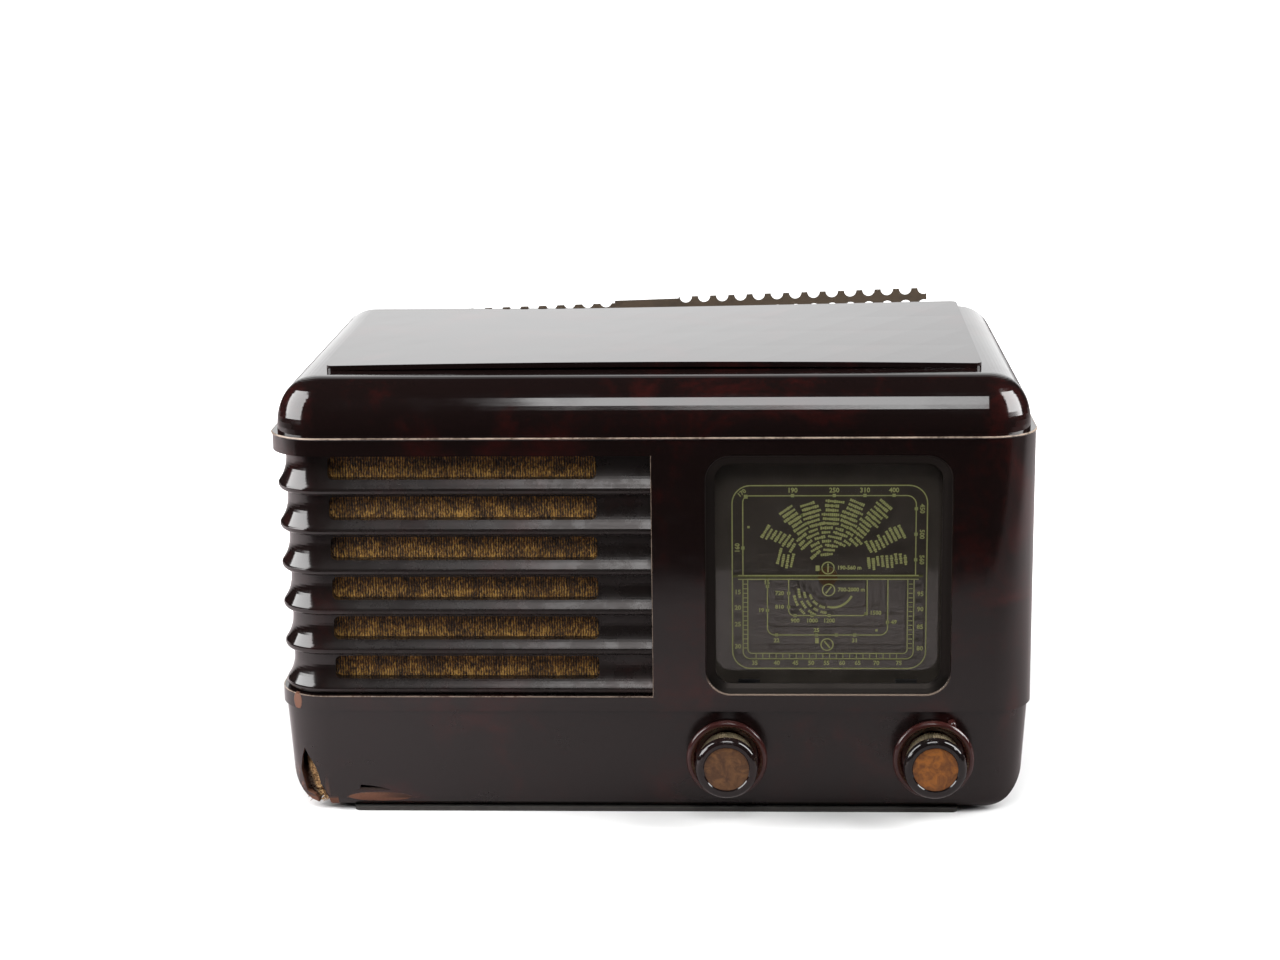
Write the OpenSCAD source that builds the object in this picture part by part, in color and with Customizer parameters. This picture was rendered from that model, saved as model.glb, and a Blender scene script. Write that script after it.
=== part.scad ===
// Table radio receiver of about 1940 in a moulded cabinet: a louvred loudspeaker bay on the left, a
// printed scale behind glass on the right, two double knobs, and the works on a steel chassis inside.
// Millimetres. The origin is on the table under the middle of the whole, +X right, +Y back, +Z up.
// Depths are given back from the plane of the lip at the front, heights from the table.

/* [Cabinet] */
// Width over the lip
cab_w = 355; // [352:1:370]
// Depth from the lip's front to the open back
cab_d = 210; // [204:1:230]
// Height of the lip's upper edge
lip_z = 181.7; // [180:0.1:188]
// Radius of the upright corners at the front
corner_r = 24; // [24:0.5:30]
// Height of the rounded shoulder above the lip
shoulder_h = 25.2; // [22:0.1:30]
// How far the shoulder curves inwards
shoulder_run = 20.5; // [16:0.1:20.5]
// How far the shoulder stands back from the lip
shoulder_in = 3; // [2:0.1:3.2]
// Thickness of the moulded wall
wall = 4; // [3:0.1:4.4]
// How far the face stands back from the lip
face_in = 0.6; // [0.3:0.1:1.2]
// Height of the step above the base
belt_z = 50.5; // [48:0.1:53]
// Step back of the base at its upper edge
base_step = 1.4; // [0.8:0.1:2]
// Extra step back of the base at its lower edge
base_draft = 2.7; // [1:0.1:3]
// Rounding of the lower edge along the front
front_bottom_r = 5.5; // [4:0.5:8]
// Rounding of the lower edge along the sides
side_bottom_r = 21.5; // [18:0.5:22]
// Height of the feet
foot_h = 2; // [2:0.5:5]
// Diameter of a rear foot and depth of the runner at the front
foot_d = 15; // [13:1:20]
// Distance from the cabinet's sides to the ends of the front runner
runner_in = 35; // [31:1:60]

/* [Louvres] */
// Number of louvres
louvre_count = 6; // [4:1:6]
// Distance from one louvre to the next
louvre_pitch = 19.15; // [18:0.05:19.4]
// Height of the bay's lower edge
bay_z = 58.2; // [56:0.1:60]
// X of the bay's upright right end
bay_x = 0; // [-6:1:4]
// Length of the bay along the left side, behind the corner
bay_side = 36; // [20:1:60]
// Depth of a louvre's neck behind the lip
neck_in = 6.4; // [5:0.1:7]
// Depth of a louvre's nose behind the lip
nose_in = 2.4; // [1.6:0.1:3]
// Radius of a louvre's nose
nose_r = 2.6; // [2:0.1:3]
// Thickness of the wall behind the necks
bay_wall = 4; // [3:0.1:5]
// Distance from the cabinet's left side to the slots
slot_end = 28.5; // [27.5:0.5:50]
// Height of a cloth slot
slot_h = 10.7; // [8:0.1:11]
// Distance from the bay's right end to the slots
slot_off = 25; // [18:1:30]

/* [Scale window] */
// Width of the window's bevelled edge
win_w = 113.4; // [100:0.2:114]
// Height of the window's bevelled edge
win_h = 114; // [104:0.2:114]
// X of the window's middle
win_x = 81.2; // [78:0.2:88]
// Height of the window's middle
win_z = 116.2; // [115:0.2:118]
// How far the pointer's axis lies below the window's middle
dial_drop = 2.9; // [0:0.1:4]
// Corner radius of the window's bevelled edge
win_r = 12; // [9:0.5:16]
// Width of the bevel
bevel_w = 4.7; // [3:0.1:6]
// Depth of the bevel
bevel_d = 3; // [2:0.1:4]
// Thickness of the glass
glass_t = 2.6; // [2:0.1:3.2]
// Length of the pointer from tip to tip
pointer_l = 88; // [70:1:92]

/* [Controls] */
// X of the volume and tone controls
volume_x = 34.3; // [28:0.1:40]
// X of the tuning and waveband controls
tuning_x = 130; // [126:0.1:134]
// Height of the spindles
knob_z = 29.8; // [28:0.1:31]
// Diameter of a knob over its glossy rim
knob_d = 29; // [27:0.2:30]
// Diameter of a knob's milled grip
grip_d = 25.6; // [24.8:0.2:27]
// How far a knob's face stands in front of the lip
knob_out = 20; // [19:0.5:26]
// Diameter of the coloured disc in a knob
disc_d = 20.6; // [16:0.2:21]
// Diameter of the outer rings
ring_d = 37.6; // [36:0.2:39.6]
// Thickness of the outer rings
ring_t = 8.6; // [7:0.1:9]
// Diameter of the inner spindles
spindle_d = 6; // [5:0.5:6]
// Diameter of the hollow spindles
sleeve_d = 10; // [9:0.5:11]

/* [Tuning drive] */
// Diameter of the drive drum
drum_d = 64; // [56:2:66]
// Diameter of the barrel on the tuning spindle
barrel_d = 8; // [7:0.5:9]
// Diameter of the drive cord
cord_d = 0.8; // [0.6:0.1:1]
// Radius of the moving vanes
vane_r = 24; // [20:0.5:25]
// Number of moving vanes in one section
vane_count = 7; // [4:1:7]
// Distance from one moving vane to the next
vane_pitch = 2.6; // [2.4:0.1:2.6]

/* [Works] */
// Distance from the cabinet's sides to the ends of the chassis
chassis_room = 30.5; // [29.5:0.5:32]
// Height of the chassis above the cabinet's floor
chassis_h = 44; // [42:0.5:44]
// Thickness of the chassis sheet
sheet_t = 1.2; // [1:0.1:1.6]
// Diameter of the loudspeaker's frame
speaker_d = 116; // [100:1:117]
// Depth of the loudspeaker's frame
speaker_l = 40; // [34:1:46]
// Diameter of the magnet
magnet_d = 58; // [50:1:64]
// Thickness of the loudspeaker board
board_t = 4; // [3:0.5:6]

/* [Back] */
// Thickness of the fibre back
back_t = 2.2; // [1.6:0.1:3]
// Distance from one vent hole to the next
vent_pitch = 9.7; // [9:0.1:11]
// Diameter of a vent hole
vent_d = 6.5; // [5:0.1:7]
// Height of the loose strip
strip_h = 9.2; // [8.6:0.1:10]
// Thickness of the loose strip
strip_t = 1.8; // [1.2:0.1:2.4]
// Slope of the loose strip in degrees
strip_slope = 1.8; // [0:0.1:2.2]

/* [Top plate] */
// Width of the top plate
plate_w = 305.2; // [290:0.2:306]
// Depth of the top plate
plate_d = 156; // [140:1:164]
// Thickness of the top plate
plate_t = 2.4; // [2:0.1:3]
// Rise of the bow along its front edge
plate_bow = 1.3; // [0:0.1:4]
// Rise of its right rear corner
plate_lift = 3.8; // [0:0.1:5]

/* [Hidden] */

$fn = 64;
big = 400;                    // longer than any piece
skin = 0.3;                   // gap between pieces that don't touch
fit = 0.05;                   // radial running clearance
hx = cab_w / 2;
front_y = knob_out - (knob_out + cab_d + strip_t) / 2;
back_y = front_y + cab_d;
floor_z = foot_h + wall;      // inside floor
top_z = lip_z + shoulder_h;

BAKELITE = [0.11, 0.07, 0.06];
OXBLOOD = [0.24, 0.10, 0.10];
STEEL = [0.55, 0.56, 0.57];
BRASS = [0.71, 0.60, 0.35];
FIBRE = [0.43, 0.37, 0.30];
AMBER = [0.62, 0.36, 0.13];
BLACK = [0.08, 0.08, 0.08];
COPPER = [0.72, 0.42, 0.25];
PAPER = [0.35, 0.30, 0.24];
GLASS = [0.75, 0.80, 0.78, 0.4];

// Points on an arc in the plane of a profile
function arc(c, r, a0, a1, n) =
    [for (i = [0:n]) let (a = a0 + (a1 - a0) * i / n) c + r * [cos(a), sin(a)]];
// Quarter of a squarish ellipse that starts upright at c and ends level, inwards by run and up by rise
function quarter(c, run, rise, n) = let (e = 2 / 2.3)
    [for (i = [0:n]) let (a = 90 * i / n) c + [-run * (1 - pow(cos(a), e)), rise * pow(sin(a), e)]];
// Step back of the base at a height
function base_in(z) = face_in + base_step + base_draft * (belt_z - z) / (belt_z - foot_h);

// Profiles hold pairs of distance out from the lip's plane, negative inwards, and height.
lip_t = 1.3;                  // height of the lip
outer_profile = concat(
    [[-corner_r, foot_h]],
    arc([-base_in(foot_h) - front_bottom_r, foot_h + front_bottom_r], front_bottom_r, -90, 0, 8),
    [[-base_in(belt_z), belt_z], [-face_in, belt_z + 0.5], [-face_in, lip_z - lip_t],
        [-0.2, lip_z - lip_t + 0.3], [0, lip_z - 0.5], [-0.5, lip_z], [-shoulder_in, lip_z]],
    quarter([-shoulder_in, lip_z], shoulder_run, shoulder_h, 18),
    [[-corner_r, top_z]]);
inner_run = corner_r - shoulder_in - wall - 0.5;
inner_profile = concat(
    [[-corner_r, floor_z]],
    arc([-base_in(foot_h) - front_bottom_r, foot_h + front_bottom_r], front_bottom_r - wall + 1.5,
        -90, 0, 6),
    [[-base_in(belt_z) - wall, belt_z + 2], [-face_in - wall, belt_z + 5],
        [-face_in - wall, lip_z - 5], [-shoulder_in - wall, lip_z - 1]],
    quarter([-shoulder_in - wall, lip_z - 1], inner_run, shoulder_h + 1 - wall, 12),
    [[-corner_r, top_z - wall]]);

// A profile carried round the front and both sides, with upright corners; the middle is solid
module carried(profile, rear) {
    pts = [for (p = profile) [corner_r + p[0], p[1]]];
    zs = [for (p = profile) p[1]];
    cx = hx - corner_r;
    cy = front_y + corner_r;
    for (s = [0, 1]) mirror([s, 0, 0]) {
        translate([cx, cy, 0]) rotate([0, 0, -90]) rotate_extrude(angle = 90, $fn = 96) polygon(pts);
        translate([cx, rear, 0]) rotate([90, 0, 0]) linear_extrude(rear - cy) polygon(pts);
    }
    translate([cx, cy, 0]) rotate([90, 0, -90]) linear_extrude(2 * cx) polygon(pts);
    translate([-cx, cy, min(zs)]) cube([2 * cx, rear - cy, max(zs) - min(zs)]);
}

// Outline of the cabinet seen from the front, less a margin all round, for its large lower corners
module front_outline(margin) {
    r = side_bottom_r - margin;
    x = hx - base_in(foot_h + side_bottom_r) - side_bottom_r;
    z = foot_h + side_bottom_r;
    polygon(concat(arc([x, z], r, -90, 0, 12), [[hx + 5 - margin, belt_z + 2], [hx + 5, big],
        [-hx - 5, big], [-hx - 5 + margin, belt_z + 2]], arc([-x, z], r, 180, 270, 12)));
}

module front_facing(h) translate([0, front_y + h, 0]) rotate([90, 0, 0]) children();

// The shell's outer form and its hollow
module outer_form() intersection() {
    carried(outer_profile, back_y);
    translate([0, back_y + 1, 0]) rotate([90, 0, 0]) linear_extrude(cab_d + 20) front_outline(0);
}
module inner_form(margin, rear) intersection() {
    carried([for (p = inner_profile) p - (p[0] > -corner_r ? [margin, 0] : [0, 0])
        + [0, (p[1] < lip_z ? 1 : -1) * (p[1] < floor_z + 1 || p[1] > top_z - wall - 1 ? margin : 0)]],
        rear);
    translate([0, rear + 1, 0]) rotate([90, 0, 0]) linear_extrude(big) front_outline(wall + margin);
}

// Louvres: one neck, hollow curve and nose below the other, round the front left corner
bay_top = bay_z + louvre_count * louvre_pitch;
nose_drop = louvre_pitch - nose_r;
curve_r = 18.5;
curve_x = curve_r - neck_in;
nose_x = -nose_in - nose_r;
curve_start = nose_drop - sqrt(pow(curve_r + nose_r, 2) - pow(curve_x - nose_x, 2));
curve_end = atan2(nose_drop - curve_start, curve_x - nose_x);
function louvre(top) = concat([[-neck_in, top]],
    arc([curve_x, top - curve_start], curve_r, 180, 180 + curve_end, 9),
    arc([nose_x, top - nose_drop], nose_r, curve_end, -90, 9));
bay_profile = concat([[3, bay_top]],
    [for (i = [0:louvre_count - 1]) each louvre(bay_top - i * louvre_pitch)], [[3, bay_z]]);

// A closed profile carried along the bay: across the front, round the corner and along the left side
module along_bay(profile, extra) {
    pts = [for (p = profile) [corner_r + p[0], p[1]]];
    cx = hx - corner_r;
    cy = front_y + corner_r;
    mirror([1, 0, 0]) {
        translate([cx, cy, 0]) rotate([0, 0, -90]) rotate_extrude(angle = 90, $fn = 96) polygon(pts);
        translate([cx, cy + bay_side + extra, 0]) rotate([90, 0, 0])
            linear_extrude(bay_side + extra) polygon(pts);
        translate([cx, cy, 0]) rotate([90, 0, -90])
            linear_extrude(cx + bay_x + extra) polygon(pts);
    }
}
bay_in = neck_in + bay_wall;  // depth of the wall's inner face behind the louvres
module bay_backing() along_bay([[-bay_in, bay_z - 4], [0, bay_z - 4], [0, bay_top + 4],
    [-bay_in, bay_top + 4]], bay_wall);

// Rectangle with round corners, about its middle
module round_rect(w, h, r) {
    square([w - 2 * r, h], center = true);
    square([w, h - 2 * r], center = true);
    for (x = [-1, 1], y = [-1, 1]) translate([x * (w / 2 - r), y * (h / 2 - r)]) circle(r);
}
// A profile of distance from the corner's axis and depth, carried round such a rectangle
module round_frame(w, h, r, pts) {
    ds = [for (p = pts) p[1]];
    for (x = [0, 1], y = [0, 1]) mirror([x, 0, 0]) mirror([0, y, 0])
        translate([w / 2 - r, h / 2 - r, 0]) rotate_extrude(angle = 90) polygon(pts);
    for (x = [0, 1]) mirror([x, 0, 0]) translate([w / 2 - r, h / 2 - r, 0]) rotate([90, 0, 0])
        linear_extrude(h - 2 * r) polygon(pts);
    for (y = [0, 1]) mirror([0, y, 0]) translate([w / 2 - r, h / 2 - r, 0]) rotate([90, 0, 90])
        mirror([0, 0, 1]) linear_extrude(w - 2 * r) polygon(pts);
    translate([-w / 2 + r, -h / 2 + r, min(ds)]) cube([w - 2 * r, h - 2 * r, max(ds) - min(ds)]);
}

// Window: a bevel down to a thin lip, and a pocket behind it for the glass
lip_w = 0.7;
glass_y = face_in + bevel_d + lip_w;
window_wall = glass_y + glass_t + 1;
glass_w = win_w - 2 * bevel_w + 5;
glass_h = win_h - 2 * bevel_w + 5;
glass_r = win_r - bevel_w + 2.5;
module window_cut() {
    translate([win_x, front_y + face_in, win_z]) rotate([-90, 0, 0])
        round_frame(win_w, win_h, win_r, [[0, -2], [win_r, -2], [win_r, 0], [win_r - 0.5, 0.9],
            [win_r - bevel_w * 0.55, bevel_d * 0.62], [win_r - bevel_w, bevel_d],
            [win_r - bevel_w, window_wall], [0, window_wall]]);
    translate([win_x, front_y + glass_y, win_z]) rotate([-90, 0, 0]) linear_extrude(big)
        round_rect(glass_w + 2 * skin, glass_h + 2 * skin, glass_r + skin);
}
module window_backing() translate([win_x, front_y, win_z]) rotate([-90, 0, 0])
    linear_extrude(window_wall) round_rect(glass_w + 9, glass_h + 9, glass_r + 4.5);

// Broken edges of the base, as seen from the front: a wedge at the left corner and a long chip
wedge_x = -hx + base_in(foot_h) + 12;
wedge = [[-4.8, 28.7], [-6.5, 23], [-7.4, 16.6], [-5.6, 10], [-4.6, 6.5], [-0.6, 5.2], [1, 3.4],
    [1.6, -3], [8, -3], [6.3, 4.5], [4.4, 8.4], [2.7, 11.3], [1.6, 16.4], [0.3, 20.2], [-2.6, 24.8]];
chip_x = -hx + 46;
chip = [[-12.4, 1.6], [-12.8, 6.6], [-11, 8.4], [-8.2, 8.7], [-7.6, 11.2], [-2.4, 10.7], [2.4, 9.8],
    [7.1, 8.4], [15.5, 4.6], [17.9, 2.2], [13.5, 0.2]];
chip_slope = [[0, 0.4], [2.4, 4.2], [5, 9.4], [30, 9.4], [30, 14], [-2, 14], [-2, 0.4]];
module chip_cut() translate([chip_x, front_y, foot_h]) intersection() {
    translate([0, 25, 0]) rotate([90, 0, 0]) linear_extrude(30) polygon(chip);
    translate([-20, 0, 0]) rotate([90, 0, 90]) linear_extrude(45) polygon(chip_slope);
}

// Pads inside the rear corners that carry the back cover's screws
pad = 12;
back_in = 3;                  // depth of the back cover inside the rear edge
back_front = back_y - back_in - back_t;
screw_r = 1.6;
pad_x = hx - face_in - wall - pad / 2;
pad_zs = [belt_z + 16, lip_z - 16];
module at_pads() for (x = [-pad_x, pad_x], z = pad_zs) translate([x, back_front, z]) children();

// Chassis and its bolts
chassis_w = cab_w - 2 * chassis_room;
chassis_front = 28;           // depth of the front apron
chassis_back = cab_d - 12;    // depth of the rear apron
works_y = front_y + chassis_back;
chassis_z = floor_z + chassis_h;
flange = 12;
bolt_r = 2;
bolt_inset = flange / 2 + sheet_t;
bolt_xs = [-chassis_w / 2 + 24, chassis_w / 2 - 24];
bolt_ys = [front_y + chassis_front + bolt_inset, front_y + chassis_back - bolt_inset];
module at_bolts() for (x = bolt_xs, y = bolt_ys) translate([x, y, 0]) children();
foot_stud = 3;                // depth of a foot's stud in the floor
head_h = 1.8;                 // height of a bolt's head
runner_y = front_y + 5 + foot_d / 2;
module at_feet() for (x = [-1, 1], y = [runner_y, back_y - 16])
    translate([x * (hx - runner_in - foot_d / 2), y, 0]) children();
module at_controls() for (x = [volume_x, tuning_x]) translate([x, front_y, knob_z])
    rotate([-90, 0, 0]) children();

module cabinet() color(BAKELITE) difference() {
    outer_form();
    difference() {
        inner_form(0, back_y + 1);
        bay_backing();
        window_backing();
        for (x = [-pad_x - 2, pad_x + 2], z = pad_zs)
            translate([x - pad / 2 - 1, back_front - 16, z - pad / 2]) cube([pad + 2, 16, pad]);
    }
    along_bay(bay_profile, 0);
    slots(big / 10);
    window_cut();
    at_controls() translate([0, 0, -1]) cylinder(r = sleeve_d / 2 + 1, h = 14);
    at_pads() rotate([90, 0, 0]) translate([0, 0, -1]) cylinder(r = screw_r, h = 13);
    at_bolts() cylinder(r = bolt_r + 0.4, h = floor_z + 1);
    at_bolts() cylinder(r = bolt_r + 2.1, h = foot_h + head_h - 0.6);
    at_feet() cylinder(r = bolt_r + fit, h = foot_h + foot_stud + skin);
    at_board_screws(bay_in - screw_in - skin) cylinder(r = screw_r, h = screw_in + 2);
    translate([wedge_x, front_y + corner_r - 6, foot_h]) rotate([90, 0, 0])
        linear_extrude(corner_r) polygon(wedge);
    chip_cut();
}
slot_w = hx + bay_x - slot_off - slot_end;
slot_x = bay_x - slot_off - slot_w / 2;
function slot_z(i) = bay_top - 1.1 - slot_h / 2 - i * louvre_pitch;
module slots(depth) for (i = [0:louvre_count - 1]) translate([slot_x, front_y + depth, slot_z(i)])
    rotate([90, 0, 0]) linear_extrude(depth + 5) round_rect(slot_w, slot_h, 2.6);

// Top plate: a thin sheet that has warped, bowed at the front and lifted at the right rear
plate_front = front_y + 33;
plate_r = 3.5;                // radius of its corners seen from above
function plate_axis(l, n) = concat([0, 0.617 * plate_r],
    [for (i = [0:n]) plate_r + (l - 2 * plate_r) * i / n], [l - 0.617 * plate_r, l]);
plate_xs = plate_axis(plate_w, 12);
plate_ys = plate_axis(plate_d, 4);
plate_nx = len(plate_xs) - 1;
plate_ny = len(plate_ys) - 1;
// A point on an edge of the sheet moved inwards where the corner is rounded
function rounded_in(a, la, b, lb) = let (ea = min(a, la - a), eb = min(b, lb - b))
    a + (a < la / 2 ? 1 : -1) * (ea > 0.01 || eb > plate_r - 0.01 ? 0 : eb < 0.01 ? 0.293 * plate_r
        : plate_r - sqrt(pow(plate_r, 2) - pow(plate_r - eb, 2)));
function plate_rise(u, v) = plate_bow * (1 - pow(2 * u - 1, 2)) * (1 - v)
    + plate_lift * pow(u, 1.5) * v;
function plate_at(i, j, up) = let (x = rounded_in(plate_xs[i], plate_w, plate_ys[j], plate_d),
    y = rounded_in(plate_ys[j], plate_d, plate_xs[i], plate_w))
    [x - plate_w / 2, plate_front + y, top_z + plate_rise(x / plate_w, y / plate_d) + up];
plate_row = plate_nx + 1;
plate_sheet = plate_row * (plate_ny + 1);
plate_rim = concat([for (i = [0:plate_nx]) i], [for (j = [1:plate_ny]) j * plate_row + plate_nx],
    [for (i = [plate_nx - 1:-1:0]) plate_ny * plate_row + i],
    [for (j = [plate_ny - 1:-1:1]) j * plate_row]);
module top_plate() color(BAKELITE) polyhedron(
    concat([for (j = [0:plate_ny], i = [0:plate_nx]) plate_at(i, j, 0)],
        [for (j = [0:plate_ny], i = [0:plate_nx]) plate_at(i, j, plate_t)]),
    concat(
        [for (j = [0:plate_ny - 1], i = [0:plate_nx - 1]) let (a = j * plate_row + i)
            each [[a, a + 1, a + plate_row + 1], [a, a + plate_row + 1, a + plate_row]]],
        [for (j = [0:plate_ny - 1], i = [0:plate_nx - 1]) let (a = plate_sheet + j * plate_row + i)
            each [[a, a + plate_row + 1, a + 1], [a, a + plate_row, a + plate_row + 1]]],
        [for (k = [0:len(plate_rim) - 1]) let (a = plate_rim[k], b = plate_rim[(k + 1) % len(plate_rim)])
            each [[a, a + plate_sheet, b + plate_sheet], [a, b + plate_sheet, b]]]));

// Back: fibre board with rows of vent holes, torn off along its highest row
tear_z = top_z - wall - 15;
vent_rows = [tear_z - 14, tear_z - 24, tear_z - 34, belt_z + 26, belt_z + 16];
vent_n = floor((hx - 50) / vent_pitch);
socket_x = -52;
socket_gap = 16;
socket_z = floor_z + 20;
grommet_x = 96;
module back_cover() color(FIBRE) difference() {
    intersection() {
        inner_form(skin, back_y - back_in);
        translate([-big / 2, back_front, 0]) cube([big, back_t, tear_z]);
    }
    front_facing(cab_d + 1) linear_extrude(big / 10) {
        for (i = [-vent_n:vent_n]) translate([i * vent_pitch, tear_z]) circle(d = vent_d, $fn = 20);
        for (z = vent_rows, i = [-vent_n:vent_n]) if (abs(i) > 1)
            translate([i * vent_pitch, z]) circle(d = vent_d, $fn = 20);
        translate([socket_x, socket_z]) round_rect(3 * socket_gap + 22, 20, 3);
        translate([grommet_x, socket_z]) circle(8);
    }
    at_pads() rotate([90, 0, 0]) translate([0, 0, -back_t - 1]) cylinder(r = screw_r + 0.4, h = 5);
}

// Loose strip: torn off between two rows of vent holes, plain in the middle, behind the rear edge; it is
// torn lower on its left and broken across a hole at its right end
strip_mid = 33;
strip_right = 13;
strip_left = 11;
strip_x = -10;
strip_z = top_z + 0.4;
strip_drop = 2.2;
strip_end = 6.2;
module back_strip() color(FIBRE) translate([strip_x, back_y + strip_t, strip_z])
    rotate([90, -strip_slope, 0]) linear_extrude(strip_t) difference() {
        translate([-strip_mid / 2 - strip_left * vent_pitch - 2, -strip_h / 2])
            square([strip_mid + (strip_left + strip_right) * vent_pitch + 2 + strip_end, strip_h]);
        translate([-strip_mid / 2 - (strip_left + 1) * vent_pitch, strip_h / 2 - strip_drop])
            square([(strip_left + 1) * vent_pitch, strip_drop + 1]);
        translate([-strip_mid / 2 - 1, strip_h / 2 - 0.9]) square([strip_mid + 2, 2]);
        for (s = [-1, 1]) {
            for (i = [0:strip_right])
                translate([strip_mid / 2 + (i + 0.5) * vent_pitch, s * strip_h / 2])
                    circle(d = vent_d, $fn = 24);
            for (i = [0:strip_left - 1])
                translate([-strip_mid / 2 - (i + 0.5) * vent_pitch, s * strip_h / 2 - (s > 0 ? 1 : 0)])
                    circle(d = vent_d, $fn = 24);
        }
    }

module back_screws() color(STEEL) at_pads() rotate([90, 0, 0]) {
    translate([0, 0, -back_t - 0.1]) cylinder(r = screw_r - fit, h = 12);
    translate([0, 0, -back_t - 2]) difference() {
        cylinder(r = 3.4, h = 2);
        translate([-4, -0.4, -1]) cube([8, 0.8, 1.8]);
    }
}
module feet() color(BLACK) {
    translate([-hx + runner_in + 3, runner_y - foot_d / 2, 0]) cube([cab_w - 2 * runner_in - 6, foot_d, foot_h]);
    for (x = [-1, 1]) translate([x * (hx - runner_in - 3), runner_y, 0]) {
        translate([-3, -foot_d / 2 + 3, 0]) cube([6, foot_d - 6, foot_h]);
        for (y = [-1, 1]) translate([0, y * (foot_d / 2 - 3), 0]) cylinder(r = 3, h = foot_h);
    }
    for (x = [-1, 1]) translate([x * (hx - runner_in - foot_d / 2), back_y - 16, 0]) cylinder(d = foot_d, h = foot_h);
    at_feet() cylinder(r = bolt_r, h = foot_h + foot_stud);
}

module scale_glass() color(GLASS) translate([win_x, front_y + glass_y, win_z]) rotate([-90, 0, 0])
    linear_extrude(glass_t) round_rect(glass_w, glass_h, glass_r);

// Steel clips screwed to the window's frame that hold the glass
clip_w = 10;
pan_y = window_wall + 0.8;    // depth of the pan's front rim
pan_d = 6;
pan_t = 0.8;
pan_w = glass_w + 6;
pan_h = glass_h + 6;
module glass_clips() color(STEEL) for (x = [-1, 1], z = [0, 1])
    translate([win_x + x * (glass_w / 2 - 18) - clip_w / 2, front_y + glass_y + glass_t, win_z])
        mirror([0, 0, z]) translate([0, 0, glass_h / 2 - 3]) {
            cube([clip_w, 1.4, 2.8]);
            translate([0, 1, 0]) cube([clip_w, 0.8, 6.8]);
        }
// Shallow steel pan behind the glass that carries the scale's dark background
module scale_pan() color([0.16, 0.15, 0.13]) translate([win_x, front_y + pan_y, win_z])
    rotate([-90, 0, 0]) difference() {
        linear_extrude(pan_d) round_rect(pan_w, pan_h, glass_r + 3);
        translate([0, 0, -1]) linear_extrude(pan_d + 1 - pan_t)
            round_rect(pan_w - 2 * pan_t, pan_h - 2 * pan_t, glass_r + 2);
        translate([0, dial_drop, 0]) cylinder(r = spindle_d / 2 + 1, h = pan_d + 1);
    }
pointer_y = pan_y + 2;
dial_z = win_z - dial_drop;
module pointer() color(BRASS) translate([win_x, front_y + pointer_y, dial_z]) rotate([-90, 0, 0])
    difference() {
        union() {
            cylinder(d = 9, h = 2.2);
            translate([-pointer_l / 2, -0.5, 0.6]) cube([pointer_l, 1, 0.7]);
        }
        translate([0, 0, 1]) cylinder(r = spindle_d / 2 + 0.02, h = 3);
    }

// Tuning condenser: two sections of half-round vanes on one shaft
drum_y = 46;
frame_y = 58;
frame_l = 2 * (vane_count + 1) * vane_pitch + 14;
plate_gap = 2;
vane_t = 0.6;
hub_r = spindle_d / 2 + 2;
function section_y(s) = frame_y + 6 + s * ((vane_count + 1) * vane_pitch + 2);
module half_round(r, t) intersection() {
    cylinder(r = r, h = t);
    translate([-r - 1, 0, -1]) cube([2 * r + 2, r + 1, t + 2]);
}
module condenser_rotor() color(STEEL) translate([win_x, front_y, dial_z]) rotate([-90, 0, 0]) {
    translate([0, 0, pointer_y + 1]) cylinder(d = spindle_d, h = frame_y + frame_l + 4 - pointer_y - 1);
    for (s = [0, 1]) {
        translate([0, 0, section_y(s) - 1]) cylinder(r = hub_r, h = (vane_count - 1) * vane_pitch + 2);
        for (i = [0:vane_count - 1]) translate([0, 0, section_y(s) + i * vane_pitch])
            half_round(vane_r, vane_t);
    }
}
module drive_drum() color([0.6, 0.57, 0.5]) translate([win_x, front_y + drum_y, dial_z])
    rotate([-90, 0, 0]) difference() {
        rotate_extrude($fn = 96) polygon([[spindle_d / 2 + 0.02, -4], [spindle_d / 2 + 5, -4],
            [spindle_d / 2 + 5, -1], [drum_d / 2 - 4, -1], [drum_d / 2 - 4, -2.6],
            [drum_d / 2 + 1.2, -2.6], [drum_d / 2 - 0.6, -0.8], [drum_d / 2 - 0.6, 0.8],
            [drum_d / 2 + 1.2, 2.6], [drum_d / 2 - 4, 2.6], [drum_d / 2 - 4, 1],
            [spindle_d / 2 + 5, 1], [spindle_d / 2 + 5, 4], [spindle_d / 2 + 0.02, 4]]);
        for (a = [30, 150, 270]) rotate([0, 0, a]) translate([drum_d / 4 + 3, 0, -2])
            cylinder(r = drum_d / 9, h = 4);
    }
end_w = 2 * vane_r + 12;
end_h = vane_r + 14;
module condenser_frame() color(STEEL) translate([win_x, front_y, dial_z]) {
    for (y = [frame_y, frame_y + frame_l - plate_gap]) translate([0, y, 0]) difference() {
        union() {
            translate([-end_w / 2, 0, -vane_r - 6]) cube([end_w, plate_gap, end_h]);
            for (x = [-end_w / 2, end_w / 2 - 10])
                translate([x, 0, chassis_z - dial_z]) cube([10, plate_gap, dial_z - chassis_z - vane_r - 5]);
        }
        rotate([-90, 0, 0]) translate([0, 0, -1]) cylinder(r = spindle_d / 2 + fit, h = plate_gap + 2);
    }
    translate([-end_w / 2, frame_y, -vane_r - 6]) cube([end_w, frame_l, 1.6]);
    for (x = [-end_w / 2, end_w / 2 - 10]) translate([x, frame_y, chassis_z - dial_z])
        cube([10, frame_l, 1.6]);
}
stator_in = vane_r + 1.2;
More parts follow.
